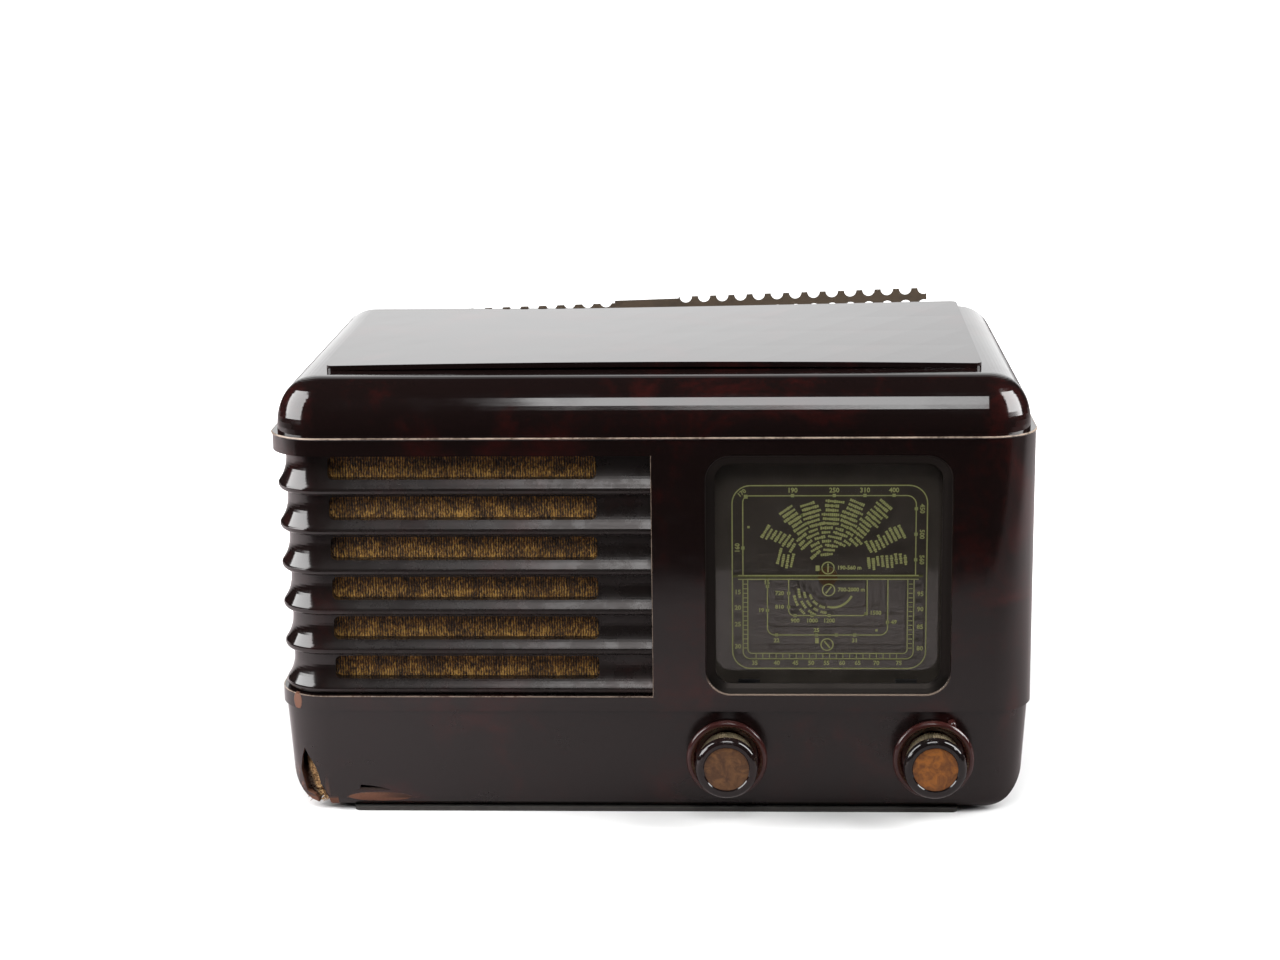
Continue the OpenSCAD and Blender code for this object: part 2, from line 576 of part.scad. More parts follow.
module condenser_stator() color([0.68, 0.68, 0.66]) translate([win_x, front_y, dial_z]) {
    rotate([-90, 0, 0]) for (s = [0, 1], i = [0:vane_count])
        translate([0, 0, section_y(s) + (i - 0.5) * vane_pitch]) difference() {
            half_round(vane_r + 3, vane_t);
            translate([0, 0, -1]) cylinder(r = hub_r + 1, h = 3);
        }
    for (x = [-1, 1]) translate([x * (stator_in + 1.2) - 1, frame_y + plate_gap, -6])
        cube([2, frame_l - 2 * plate_gap, 5]);
}

// Drive cord: half round the drum, and down both sides to the barrel on the tuning spindle
cord_y = front_y + drum_y;
cord_gap = 0.35;
drum_cord_r = drum_d / 2 - 0.6 + cord_gap + cord_d / 2;
barrel_cord_r = barrel_d / 2 + cord_gap + cord_d / 2;
run_dx = tuning_x - win_x;
run_dz = knob_z - dial_z;
run_l = norm([run_dx, run_dz]);
run_a = atan2(run_dz, run_dx);
lean = acos((drum_cord_r - barrel_cord_r) / run_l);
cord_path = concat(arc([win_x, dial_z], drum_cord_r, run_a + lean, run_a + 360 - lean, 44),
    arc([tuning_x, knob_z], barrel_cord_r, run_a - lean, run_a + lean, 14));
cord_n = len(cord_path);
cord_sides = 8;
function cord_dir(k) = let (d = cord_path[(k + 1) % cord_n] - cord_path[(k + cord_n - 1) % cord_n])
    d / norm(d);
module drive_cord() color([0.45, 0.4, 0.3]) polyhedron(
    [for (k = [0:cord_n - 1]) let (c = cord_path[k], t = cord_dir(k))
        for (j = [0:cord_sides - 1]) let (a = 360 * j / cord_sides, r = cord_d / 2 * cos(a))
            [c[0] - r * t[1], cord_y + cord_d / 2 * sin(a), c[1] + r * t[0]]],
    [for (k = [0:cord_n - 1], j = [0:cord_sides - 1])
        let (m = (k + 1) % cord_n, i = (j + 1) % cord_sides)
        each [[k * cord_sides + j, k * cord_sides + i, m * cord_sides + i],
            [k * cord_sides + j, m * cord_sides + i, m * cord_sides + j]]]);
// Ends of the two straight runs, on the drum and on the barrel, and where one crosses a height
function run_from(s) = [win_x, dial_z] + drum_cord_r * [cos(run_a + s * lean), sin(run_a + s * lean)];
function run_to(s) = [tuning_x, knob_z] + barrel_cord_r * [cos(run_a + s * lean), sin(run_a + s * lean)];
function run_slope(s) = let (d = run_to(s) - run_from(s)) atan2(d[1], d[0]);
function run_x(s, z) = let (a = run_from(s), b = run_to(s)) a[0] + (b[0] - a[0]) * (a[1] - z) / (a[1] - b[1]);

// Controls: everything on a spindle is drawn with its height measured out from the lip's plane
module on_spindle(x) translate([x, front_y, knob_z]) rotate([90, 0, 0]) children();
knob_r = knob_d / 2;
grip_r = grip_d / 2;
disc_r = disc_d / 2;
ring_r = ring_d / 2;
rim_r = 2.8;                  // rounding of a knob's rim
rim_back = knob_out - 4.2;
ring_back = 0.5 - base_in(knob_z + ring_r);
ring_front = ring_back + ring_t;
dish = ring_front - 4.8;      // floor of the dish in the outer ring
grip_back = dish + 1;
spindle_tip = knob_out - 6;
bush_y = chassis_front + sheet_t;
module knob_body() difference() {
    rotate_extrude() polygon(concat([[0, grip_back], [grip_r - 0.9, grip_back],
        [grip_r - 0.9, rim_back], [knob_r - 0.5, rim_back], [knob_r, rim_back + 0.6]],
        arc([knob_r - rim_r, knob_out - rim_r], rim_r, 0, 90, 8),
        [[disc_r + 0.5, knob_out], [disc_r + 0.1, knob_out - 0.4], [disc_r + 0.1, knob_out - 1.4],
            [0, knob_out - 1.4]]));
    translate([0, 0, grip_back - 1]) cylinder(r = spindle_d / 2 + 0.02, h = spindle_tip + 1.5 - grip_back);
}
module knob_grip() translate([0, 0, grip_back + 0.3]) difference() {
    cylinder(r = grip_r, h = rim_back - 0.32 - grip_back);
    translate([0, 0, -1]) cylinder(r = grip_r - 0.88, h = knob_out);
}
module knob_disc() translate([0, 0, knob_out - 1.38]) rotate_extrude() polygon(concat(
    [[0, 0], [disc_r, 0], [disc_r, 0.7]],
    [for (i = [1:6]) let (q = i / 6) [disc_r * (1 - q), 0.7 + 0.5 * sqrt(q)]]));
module outer_ring() rotate_extrude($fn = 96) polygon(concat(
    [[sleeve_d / 2 + 0.02, ring_back + 0.6], [ring_r - 5, ring_back], [ring_r - 2.4, ring_back],
        [ring_r - 1.9, ring_back + 0.5]],
    arc([ring_r - 1.8, ring_front - 1.8], 1.8, 0, 110, 8),
    [[ring_r - 3.4, ring_front - 1.2], [ring_r - 4, ring_front - 2.8], [ring_r - 4.6, dish],
        [sleeve_d / 2 + 0.02, dish]]));
module tuning_knob() color(BAKELITE) on_spindle(tuning_x) knob_body();
module tuning_grip() color(BRASS) on_spindle(tuning_x) knob_grip();
module tuning_disc() color(AMBER) on_spindle(tuning_x) knob_disc();
module volume_knob() color(BAKELITE) on_spindle(volume_x) knob_body();
module volume_grip() color(BRASS) on_spindle(volume_x) knob_grip();
module volume_disc() color(AMBER * 0.8) on_spindle(volume_x) knob_disc();
nub_a = 29;                   // clockwise from the top, seen from the front
nub_in = 1;
module waveband_ring() color(OXBLOOD) on_spindle(tuning_x) {
    outer_ring();
    rotate([0, 0, 90 - nub_a]) translate([ring_r - nub_in, 0, ring_back + 0.5]) rotate_extrude($fn = 32)
        polygon(concat([[0, 0], [1.9, 0], [1.9, 3.4]], arc([0.6, 3.4], 1.3, 0, 90, 4), [[0, 4.7]]));
}
module tone_ring() color(OXBLOOD) on_spindle(volume_x) outer_ring();

barrel_back = drum_y + 4;
bracket_y = drum_y + 10;
sleeve_end = drum_y - 7;
module inner_spindle(end) translate([0, 0, -end]) cylinder(d = spindle_d, h = end + spindle_tip);
module hollow_spindle(end) translate([0, 0, -end]) difference() {
    cylinder(d = sleeve_d, h = end + dish);
    translate([0, 0, -1]) cylinder(r = spindle_d / 2 + fit, h = end + 6);
}
module tuning_spindle() color(STEEL) on_spindle(tuning_x) {
    inner_spindle(bracket_y + 4);
    translate([0, 0, -barrel_back]) rotate_extrude() polygon([[0, 0], [barrel_d / 2 + 1.5, 0],
        [barrel_d / 2 + 1.5, 0.8], [barrel_d / 2, 1.6], [barrel_d / 2, 6.4],
        [barrel_d / 2 + 1.5, 7.2], [barrel_d / 2 + 1.5, 8], [0, 8]]);
}
module waveband_sleeve() color(STEEL) on_spindle(tuning_x) hollow_spindle(sleeve_end);
module volume_spindle() color(STEEL) on_spindle(volume_x) inner_spindle(52);
module tone_sleeve() color(STEEL) on_spindle(volume_x) hollow_spindle(39);

// Fixed bodies of the controls, screwed to the front apron
module control_can(d, from, to, bore) translate([0, 0, -to]) difference() {
    union() {
        cylinder(d = d, h = to - from);
        translate([-d / 4, -d / 2 - 7, 1]) cube([d / 2, d / 2 + 7, 1.4]);
    }
    translate([0, 0, -1]) cylinder(r = bore, h = to - from + 2);
}
module tone_control() color([0.35, 0.33, 0.3]) on_spindle(volume_x)
    control_can(24, bush_y, 40.5, sleeve_d / 2 + fit);
module volume_control() color([0.3, 0.28, 0.26]) on_spindle(volume_x)
    control_can(25, 40.5, 54, spindle_d / 2 + fit);
module waveband_switch() color([0.5, 0.33, 0.18]) on_spindle(tuning_x) {
    translate([0, 0, -bush_y - 5.6]) difference() {
        cylinder(d = 26, h = 1.6);
        translate([0, 0, -1]) cylinder(r = sleeve_d / 2 + fit, h = 4);
    }
    for (a = [0, 180]) rotate([0, 0, a]) {
        translate([11, 0, -bush_y - 4]) cylinder(r = 1.6, h = 4);
        for (b = [30:24:150]) rotate([0, 0, b]) translate([9, -1, -bush_y - 8]) cube([4.8, 2, 2.6]);
    }
}
module spindle_bushes() color(BRASS) for (x = [volume_x, tuning_x]) on_spindle(x)
    translate([0, 0, -bush_y]) difference() {
        union() {
            cylinder(d = sleeve_d + 3, h = 6);
            translate([0, 0, sheet_t]) cylinder(d = sleeve_d + 8, h = 2.4, $fn = 6);
        }
        translate([0, 0, -1]) cylinder(r = sleeve_d / 2 + fit, h = 9);
    }
module spindle_bracket() color(STEEL) translate([tuning_x, front_y + bracket_y, 0]) difference() {
    union() {
        translate([-9, 0, knob_z - 8]) cube([18, 1.6, chassis_z - sheet_t - knob_z + 8]);
        translate([-9, 0, chassis_z - sheet_t - 1.6]) cube([18, 12, 1.6]);
    }
    translate([0, -1, knob_z]) rotate([-90, 0, 0]) cylinder(r = spindle_d / 2 + fit, h = 4);
}

// Chassis: an upturned steel tray on the cabinet's floor, with a slot for the drive cord
valve_y = works_y - 26;
valve_xs = [-0.068 * chassis_w, 0.1225 * chassis_w, 0.415 * chassis_w, -0.4286 * chassis_w];
valve_hole_r = 14;
can_side = 30;
module chassis() color(STEEL) difference() {
    translate([-chassis_w / 2, front_y + chassis_front, floor_z]) difference() {
        cube([chassis_w, chassis_back - chassis_front, chassis_h]);
        translate([sheet_t, sheet_t, sheet_t]) cube([chassis_w - 2 * sheet_t,
            chassis_back - chassis_front - 2 * sheet_t, chassis_h - 2 * sheet_t]);
        translate([flange, flange, -1]) cube([chassis_w - 2 * flange,
            chassis_back - chassis_front - 2 * flange, sheet_t + 2]);
    }
    at_bolts() cylinder(r = bolt_r + 0.2, h = floor_z + 4);
    at_controls() translate([0, 0, chassis_front - 1]) cylinder(d = sleeve_d + 3.1, h = 4);
    translate([run_x(-1, chassis_z) - 5, cord_y - 4, chassis_z - 4])
        cube([run_x(1, chassis_z) - run_x(-1, chassis_z) + 10, 8, 6]);
    for (x = valve_xs) translate([x, valve_y, chassis_z - 4]) cylinder(r = valve_hole_r, h = 6);
    for (i = [0:3]) translate([socket_x + (i - 1.5) * socket_gap, front_y + chassis_back - 4, socket_z])
        rotate([-90, 0, 0]) cylinder(r = 5, h = 6);
    translate([grommet_x, front_y + chassis_back - 4, socket_z]) rotate([-90, 0, 0]) cylinder(r = 5.4, h = 6);
}
module chassis_bolts() color(STEEL) at_bolts() {
    translate([0, 0, foot_h - 0.6]) cylinder(r = bolt_r + 1.8, h = head_h);
    translate([0, 0, foot_h]) cylinder(r = bolt_r, h = wall + 6);
    translate([0, 0, floor_z + sheet_t]) cylinder(r = bolt_r + 2, h = 3, $fn = 6);
}

// Loudspeaker: board and cloth behind the louvres, pressed frame, paper cone and magnet
cloth_t = 0.8;
board_y = bay_in + cloth_t;
board_w = slot_w + 8;
board_z0 = bay_z - 1;
board_z1 = bay_top + 1;
speaker_z = (slot_z(0) + slot_z(louvre_count - 1)) / 2;
cone_r = speaker_d / 2 - 9;
coil_r = 12;
speaker_y = board_y + board_t;
module speaker_cloth() color([0.45, 0.34, 0.18]) difference() {
    translate([slot_x - board_w / 2, front_y + bay_in, board_z0])
        cube([board_w, cloth_t, board_z1 - board_z0]);
    at_board_screws(bay_in - 1) cylinder(r = screw_r, h = cloth_t + 2);
}
module speaker_board() color([0.5, 0.36, 0.22]) difference() {
    translate([slot_x - board_w / 2, front_y + board_y, board_z0])
        cube([board_w, board_t, board_z1 - board_z0]);
    translate([slot_x, front_y + board_y - 1, speaker_z]) rotate([-90, 0, 0])
        cylinder(r = cone_r, h = board_t + 2);
    at_speaker_bolts(board_y - 1) cylinder(r = 1.7, h = board_t + 2);
    at_board_screws(board_y - 1) cylinder(r = screw_r, h = board_t + 2);
}
screw_in = 2.6;               // depth of the board's screws in the wall behind the louvres
module at_board_screws(y) for (x = [-1, 1], i = [1, louvre_count - 1])
    translate([slot_x + x * (slot_w / 2 - 3), front_y + y, bay_top - i * louvre_pitch + 3.6])
        rotate([-90, 0, 0]) children();
module at_speaker_bolts(y) for (a = [45:90:315]) translate([slot_x, front_y + y, speaker_z])
    rotate([-90, 0, 0]) rotate([0, 0, a]) translate([speaker_d / 2 - 3.6, 0, 0]) children();
module at_speaker() translate([slot_x, front_y + speaker_y, speaker_z]) rotate([-90, 0, 0]) children();
module speaker_frame() color([0.35, 0.36, 0.37]) difference() {
    at_speaker() difference() {
        rotate_extrude($fn = 96) polygon([[cone_r + 0.5, 0], [speaker_d / 2, 0], [speaker_d / 2, 1.2],
            [cone_r + 2.5, 1.2], [cone_r - 1, 8], [magnet_d / 2 - 4, speaker_l - 1.2],
            [magnet_d / 2 - 4, speaker_l], [coil_r + 2, speaker_l], [coil_r + 2, speaker_l - 1.2],
            [magnet_d / 2 - 5, speaker_l - 1.2], [cone_r - 2.4, 8], [cone_r + 0.5, 1.2]]);
        for (a = [0:60:300]) rotate([0, 0, a]) translate([cone_r - 12, -10, 10]) cube([16, 20, speaker_l - 16]);
    }
    at_speaker_bolts(speaker_y - 1) cylinder(r = 1.7, h = 4);
}
module speaker_cone() color(PAPER) at_speaker() rotate_extrude($fn = 96) polygon(concat(
    [[cone_r - 0.4, 0.2], [cone_r - 1.4, 1.4], [cone_r - 4, 0.4], [cone_r - 5, 2]],
    [[coil_r, speaker_l - 12], [coil_r, speaker_l - 4], [coil_r - 0.8, speaker_l - 4],
        [coil_r - 0.8, speaker_l - 13]],
    [for (i = [0:4]) let (a = 18 * i) [(coil_r - 0.8) * cos(a) + 0.001, speaker_l - 13 - 5 * sin(a)]],
    [[0, speaker_l - 18.6], [coil_r * 0.7, speaker_l - 17.2], [coil_r, speaker_l - 13.6],
        [cone_r - 4.6, 1], [cone_r - 4, -0.4], [cone_r - 1.2, 0.5]]));
module speaker_magnet() color([0.42, 0.42, 0.43]) at_speaker() rotate_extrude() polygon([[0, speaker_l - 2],
    [coil_r - 1.4, speaker_l - 2], [coil_r - 1.4, speaker_l + 5], [coil_r + 0.8, speaker_l + 5],
    [coil_r + 0.8, speaker_l], [magnet_d / 2, speaker_l], [magnet_d / 2, speaker_l + 32],
    [magnet_d / 2 - 2, speaker_l + 34], [0, speaker_l + 34]]);
module speaker_bolts() color(STEEL) {
    at_speaker_bolts(board_y) {
        translate([0, 0, 0.1]) cylinder(r = 1.6, h = board_t + 5);
        translate([0, 0, board_t + 1.2]) cylinder(r = 2.6, h = 2.2, $fn = 6);
    }
    at_board_screws(bay_in - screw_in) {
        cylinder(r = screw_r - fit, h = screw_in + cloth_t + board_t + 0.5);
        translate([0, 0, screw_in + cloth_t + board_t]) difference() {
            cylinder(r = 3, h = 1.6);
            translate([-4, -0.4, 0.8]) cube([8, 0.8, 2]);
        }
    }
}
module output_transformer() color([0.4, 0.36, 0.32])
    translate([slot_x + 18, front_y + speaker_y + speaker_l + 25, chassis_z]) {
        cube([36, 26, 3]);
        translate([4, 2, 3]) cube([28, 22, 24]);
        translate([9, -1, 8]) cube([18, 28, 14]);
    }

// Power supply at the left rear, coil cans and valves along the back
mains_x = -0.381 * chassis_w;
mains_y = works_y - 64;
mains_h = 39;
module mains_transformer() color([0.3, 0.3, 0.31]) translate([mains_x, mains_y, chassis_z]) difference() {
    translate([-28, -13, 0]) cube([56, 26, mains_h]);
    for (x = [-19, 9]) translate([x, -20, 9]) cube([10, 50, mains_h - 18]);
}
module transformer_windings() color([0.55, 0.4, 0.22]) translate([mains_x, mains_y, chassis_z]) difference() {
    translate([-18.8, -18, 9.2]) cube([37.6, 36, mains_h - 18.4]);
    translate([-9.2, -19, 8]) cube([18.4, 38, 28]);
}
module smoothing_condenser() color([0.72, 0.72, 0.72]) translate([-0.177 * chassis_w, works_y - 43, chassis_z])
    rotate_extrude() polygon([[0, 0], [17, 0], [17, 2], [16, 2], [16, 66], [14.5, 68], [6, 68],
        [6, 66.5], [0, 66.5]]);
module valve_sockets() color([0.14, 0.11, 0.09]) for (x = valve_xs) translate([x, valve_y, chassis_z - 12])
    difference() {
        union() {
            cylinder(r = valve_hole_r - 0.3, h = 14);
            translate([0, 0, 12]) cylinder(r = valve_hole_r + 2.5, h = 2);
        }
        for (a = [0:45:315]) rotate([0, 0, a]) translate([8.5, 0, 6]) cylinder(r = 1.3, h = 10, $fn = 24);
    }
valve_z = chassis_z + 2;
// A valve: cap on its socket, then a bulb; pins reach down into the socket
module valve(cap_r, cap_h, bulb_r, bulb_h) translate([0, 0, valve_z]) {
    rotate_extrude() polygon(concat([[0, 0], [cap_r, 0], [cap_r, cap_h], [bulb_r - 2, cap_h + 1.5],
        [bulb_r, cap_h + 5]], arc([bulb_r - 8, cap_h + bulb_h - 8], 8, 0, 70, 6),
        [[3, cap_h + bulb_h + 1], [1.5, cap_h + bulb_h + 5], [0, cap_h + bulb_h + 6]]));
    for (a = [0:45:315]) rotate([0, 0, a]) translate([8.5, 0, -6]) cylinder(r = 1.2, h = 6.5, $fn = 24);
}
module mixer_valve() color([0.62, 0.25, 0.15]) translate([valve_xs[1], valve_y, 0]) valve(15, 12, 15.5, 62);
module amplifier_valve() color([0.62, 0.25, 0.15]) translate([valve_xs[0], valve_y, 0]) valve(15, 12, 15.5, 62);
module output_valve() color(GLASS) translate([valve_xs[2], valve_y, 0]) valve(15.5, 16, 18, 78);
module rectifier_valve() color(GLASS) translate([valve_xs[3], valve_y, 0]) valve(15.5, 16, 17, 70);
module coil_can(x, y) translate([x, y, chassis_z]) {
    translate([-can_side / 2, -can_side / 2, 0]) cube([can_side, can_side, 62]);
    translate([0, 0, 62]) cylinder(r = 4, h = 3);
    for (s = [-1, 1]) translate([s * 9, s * 9, 62]) cylinder(r = 1.6, h = 2);
}
module first_coil_can() color([0.72, 0.72, 0.72]) coil_can(0.2687 * chassis_w, works_y - 34);
module second_coil_can() color([0.72, 0.72, 0.72]) coil_can(0.0272 * chassis_w, works_y - 82);
module aerial_coil() color(COPPER) translate([60, works_y - 50, floor_z + sheet_t + 14]) rotate([0, 90, 0]) {
    difference() {
        cylinder(r = 9, h = 46);
        translate([0, 0, -1]) cylinder(r = 7.6, h = 48);
    }
    for (z = [8, 26]) translate([0, 0, z]) difference() {
        cylinder(r = 11, h = 12);
        translate([0, 0, -1]) cylinder(r = 9, h = 14);
    }
    translate([-chassis_h + sheet_t + sheet_t + 14 , -4, 20]) cube([chassis_h - 2 * sheet_t - 14 - 8.5, 8, 5]);
}

// Aerial and earth sockets on a fibre panel behind the rear apron
socket_r = 2.05;
module socket_panel() color([0.3, 0.2, 0.12]) difference() {
    translate([socket_x, front_y + chassis_back, socket_z]) rotate([-90, 0, 0]) linear_extrude(2)
        round_rect(3 * socket_gap + 18, 16, 2);
    for (i = [0:3]) translate([socket_x + (i - 1.5) * socket_gap, front_y + chassis_back - 1, socket_z])
        rotate([-90, 0, 0]) cylinder(r = 3.02, h = 4);
}
module sockets() color(BRASS) for (i = [0:3])
    translate([socket_x + (i - 1.5) * socket_gap, front_y + chassis_back, socket_z]) rotate([-90, 0, 0])
        difference() {
            union() {
                translate([0, 0, -12]) cylinder(r = 3, h = 16);
                translate([0, 0, 2]) cylinder(r = 4.4, h = 1.2);
            }
            translate([0, 0, -10]) cylinder(r = socket_r, h = 15);
        }
module lead_grommet() color(BLACK) translate([grommet_x, front_y + chassis_back, socket_z])
    rotate([-90, 0, 0]) rotate_extrude() polygon([[3.4, -3.2], [7.4, -3.2], [7.4, -1.2], [5.4, -1.2],
        [5.4, 0], [7.4, 0], [7.4, 2], [3.4, 2]]);
// Two small lamps behind the scale's lower corners, on a strip of steel
lamp_h = win_z - pan_h / 2 - chassis_z + 7.6;
module scale_lamps() color(BRASS) for (x = [-1, 1]) translate([win_x + x * 40, front_y + pan_y + pan_d, chassis_z]) {
    translate([-5, 0, 0]) cube([10, 1, lamp_h]);
    translate([-5, 0, 0]) cube([10, 24, 1]);
    translate([0, 7, 1]) cylinder(r = 4, h = lamp_h - 7);
    translate([0, 7, lamp_h - 7]) rotate_extrude() polygon(concat([[0, 0], [3, 0], [3, 2]],
        arc([0, 6], 5, -40, 90, 8)));
}

cabinet();
top_plate();
back_cover();
back_strip();
back_screws();
feet();
scale_glass();
glass_clips();
scale_pan();
pointer();
condenser_rotor();
drive_drum();
condenser_frame();
condenser_stator();
drive_cord();
tuning_spindle();
tuning_knob();
tuning_grip();
tuning_disc();
waveband_ring();
waveband_sleeve();
waveband_switch();
volume_spindle();
volume_knob();
volume_grip();
volume_disc();
tone_ring();
tone_sleeve();
tone_control();
volume_control();
chassis();
chassis_bolts();
spindle_bushes();
spindle_bracket();
speaker_cloth();
speaker_board();
speaker_frame();
speaker_cone();
speaker_magnet();
speaker_bolts();
output_transformer();
mains_transformer();
transformer_windings();
smoothing_condenser();
valve_sockets();
mixer_valve();
amplifier_valve();
output_valve();
rectifier_valve();
first_coil_can();
second_coil_can();
aerial_coil();
socket_panel();
sockets();
scale_lamps();
lead_grommet();
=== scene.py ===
import math
import random

import bmesh
import bpy
from mathutils import Matrix, Vector


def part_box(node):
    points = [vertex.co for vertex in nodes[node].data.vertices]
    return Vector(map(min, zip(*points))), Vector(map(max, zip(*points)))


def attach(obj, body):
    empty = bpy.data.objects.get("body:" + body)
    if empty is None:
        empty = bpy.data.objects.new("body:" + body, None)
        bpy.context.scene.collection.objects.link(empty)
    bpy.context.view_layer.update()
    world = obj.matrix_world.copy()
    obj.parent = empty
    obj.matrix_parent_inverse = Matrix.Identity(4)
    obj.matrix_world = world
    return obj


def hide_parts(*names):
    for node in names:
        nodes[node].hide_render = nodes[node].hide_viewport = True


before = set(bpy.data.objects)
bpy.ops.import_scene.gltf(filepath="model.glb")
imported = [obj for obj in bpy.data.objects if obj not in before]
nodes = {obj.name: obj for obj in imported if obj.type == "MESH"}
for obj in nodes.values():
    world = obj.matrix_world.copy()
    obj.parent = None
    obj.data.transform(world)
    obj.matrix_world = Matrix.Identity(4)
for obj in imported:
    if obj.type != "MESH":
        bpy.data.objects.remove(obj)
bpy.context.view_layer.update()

MM = 0.001

# The camera stands where the photographer's did: a little right of the middle, 1.12 m in front of
# the set and 0.43 m above the table. Its turn about its own axis is the photograph's.
camera_place = (0.0468474, -1.2141937, 0.4254075)
camera_yaw, camera_tilt, camera_roll = (math.radians(a) for a in (2.6399, 76.7607, -0.7380))
camera_data = bpy.data.cameras.new("photo_camera")
camera_data.sensor_width = 36
camera_data.lens = 70.953
camera_data.clip_start = 0.02
camera = bpy.data.objects.new("photo_camera", camera_data)
camera.matrix_world = (
    Matrix.Translation(camera_place)
    @ Matrix.Rotation(camera_yaw, 4, "Z")
    @ Matrix.Rotation(camera_tilt, 4, "X")
    @ Matrix.Rotation(camera_roll, 4, "Z")
)
bpy.context.scene.collection.objects.link(camera)
bpy.context.scene.camera = camera


class Value:
    """A shader socket that takes Python's arithmetic: each operation adds its Math node."""

    def __init__(self, finish, socket):
        self.finish = finish
        self.socket = socket

    def math(self, operation, first, second=0.0):
        return self.finish.node("Math", {"operation": operation}, {0: first, 1: second})

    def __add__(self, other):
        return self.math("ADD", self, other)

    def __radd__(self, other):
        return self.math("ADD", other, self)

    def __sub__(self, other):
        return self.math("SUBTRACT", self, other)

    def __rsub__(self, other):
        return self.math("SUBTRACT", other, self)

    def __mul__(self, other):
        return self.math("MULTIPLY", self, other)

    def __rmul__(self, other):
        return self.math("MULTIPLY", other, self)

    def __pow__(self, other):
        return self.math("POWER", self, other)

    def __abs__(self):
        return self.math("ABSOLUTE", self)


class Finish:
    """A material and its nodes, with the place on the piece in millimetres at hand."""

    def __init__(self, name):
        self.material = bpy.data.materials.new(name)
        self.material.use_nodes = True
        self.tree = self.material.node_tree
        self.shader = self.tree.nodes["Principled BSDF"]
        metres = self.node("TexCoord", output="Object")
        self.place = self.node(
            "VectorMath", {"operation": "SCALE"}, {0: metres, "Scale": 1000.0})
        self.x, self.y, self.z = (
            self.node("SeparateXYZ", inputs={0: self.place}, output=axis) for axis in (0, 1, 2))

    def node(self, kind, settings=None, inputs=None, output=0):
        """Adds a node: its settings first, then the values or links of its sockets."""
        node = self.tree.nodes.new("ShaderNode" + kind)
        for name, value in (settings or {}).items():
            if name == "stops":
                ramp = node.color_ramp.elements
                while len(ramp) < len(value):
                    ramp.new(0.5)
                for stop, (position, colour) in zip(ramp, value):
                    stop.position = position
                    stop.color = (*colour, 1.0)
            else:
                setattr(node, name, value)
        for key, value in (inputs or {}).items():
            self.feed(node.inputs[key], value)
        return Value(self, node.outputs[output])

    def feed(self, socket, value):
        if isinstance(value, Value):
            self.tree.links.new(value.socket, socket)
        elif socket.type == "RGBA" and len(value) == 3:
            socket.default_value = (*value, 1.0)
        else:
            socket.default_value = value

    def paint(self, **sockets):
        """Feeds the shader's own sockets, such as Base_Color or Roughness."""
        for name, value in sockets.items():
            self.feed(self.shader.inputs[name.replace("_", " ")], value)
        return self

    def grain(self, scale, detail=3.0, roughness=0.5, stretch=None, distortion=0.0):
        """Noise from 0 to 1 of so many waves in a millimetre, stretched by shares if asked."""
        place = self.place
        if stretch:
            place = self.node("VectorMath", {"operation": "MULTIPLY"}, {0: place, 1: stretch})
        return self.node("TexNoise", inputs={
            "Vector": place, "Scale": scale, "Detail": detail, "Roughness": roughness,
            "Distortion": distortion})

    def fade(self, value, start, end):
        """0 where the value is at start and 1 where it is at end, smoothly between."""
        return self.node("MapRange", {"interpolation_type": "SMOOTHSTEP"}, {
            "Value": value, "From Min": start, "From Max": end, "To Min": 0.0, "To Max": 1.0})

    def between(self, value, low, high, soft):
        return self.fade(value, low - soft, low + soft) * self.fade(value, high + soft, high - soft)

    def blend(self, share, first, second):
        """Two colours mixed by a share."""
        return self.node("Mix", {"data_type": "RGBA"}, {0: share, 6: first, 7: second}, output=2)

    def bump(self, height, depth):
        """Normals of a relief whose height from 0 to 1 stands for so many millimetres."""
        return self.node("Bump", inputs={
            "Strength": 1.0, "Distance": depth * MM, "Height": height}, output="Normal")

    def on(self, *names):
        for name in names:
            for slot in nodes[name].material_slots:
                slot.material = self.material
        return self


# Cabinet: one compression moulding of dark brown phenolic with a red mottle, polished when it left
# the mould. Edges that hands and shelves rub are worn to a dull tan, and the pale line along the
# lip is partly a painted highlight on its rounded edge; the base is broken at its lower left
# corner and chipped beside it, where the filler of the moulding shows.
lip_face, lip_top, half_width, corner_radius = -95.9, 181.7, 177.5, 24.0
belt_top, belt_inset, base_lean = 50.5, 2.0, 2.7 / 48.5
bay_right, bay_low, bay_high = 0.0, 58.2, 173.1
window_x, window_z, window_half, window_round = 81.2, 116.2, 56.7, 12.0
BROWN, RED = (0.0062, 0.0034, 0.0032), (0.046, 0.0060, 0.0050)
# A pale tan for wear, which also serves as the painted highlight along the lip
WORN_AND_HIGHLIGHT, FRACTURE = (0.26, 0.200, 0.155), (0.20, 0.082, 0.045)
LOUVRE_DUST, FRAME_DUST = (0.0200, 0.0165, 0.0155), (0.0170, 0.0145, 0.0130)


def bakelite(name, brown=BROWN, red=RED, gloss=0.07):
    """A polished moulding: returns its finish, its colour and its roughness."""
    finish = Finish(name)
    clouds = finish.grain(0.022, 5.0, 0.62, distortion=0.6)
    specks = finish.grain(0.30, 4.0, 0.75)
    mottle = finish.fade(clouds + 0.30 * specks, 0.62, 0.90)
    colour = finish.blend(mottle * 0.45, brown, red)
    smears = finish.fade(finish.grain(0.030, 4.0, 0.6, (1.0, 1.0, 2.2)), 0.45, 0.75)
    roughness = gloss + 0.06 * smears + 0.04 * specks
    finish.shader.inputs["IOR"].default_value = 1.5
    return finish, colour, roughness


shell, shell_colour, shell_roughness = bakelite("cabinet_bakelite")


def above_zero(value):
    """The value, or 0 where it is negative."""
    return value.math("MAXIMUM", value, 0.0)


def shade(colour, share):
    """A colour made darker or lighter by a share."""
    return tuple(part * share for part in colour)


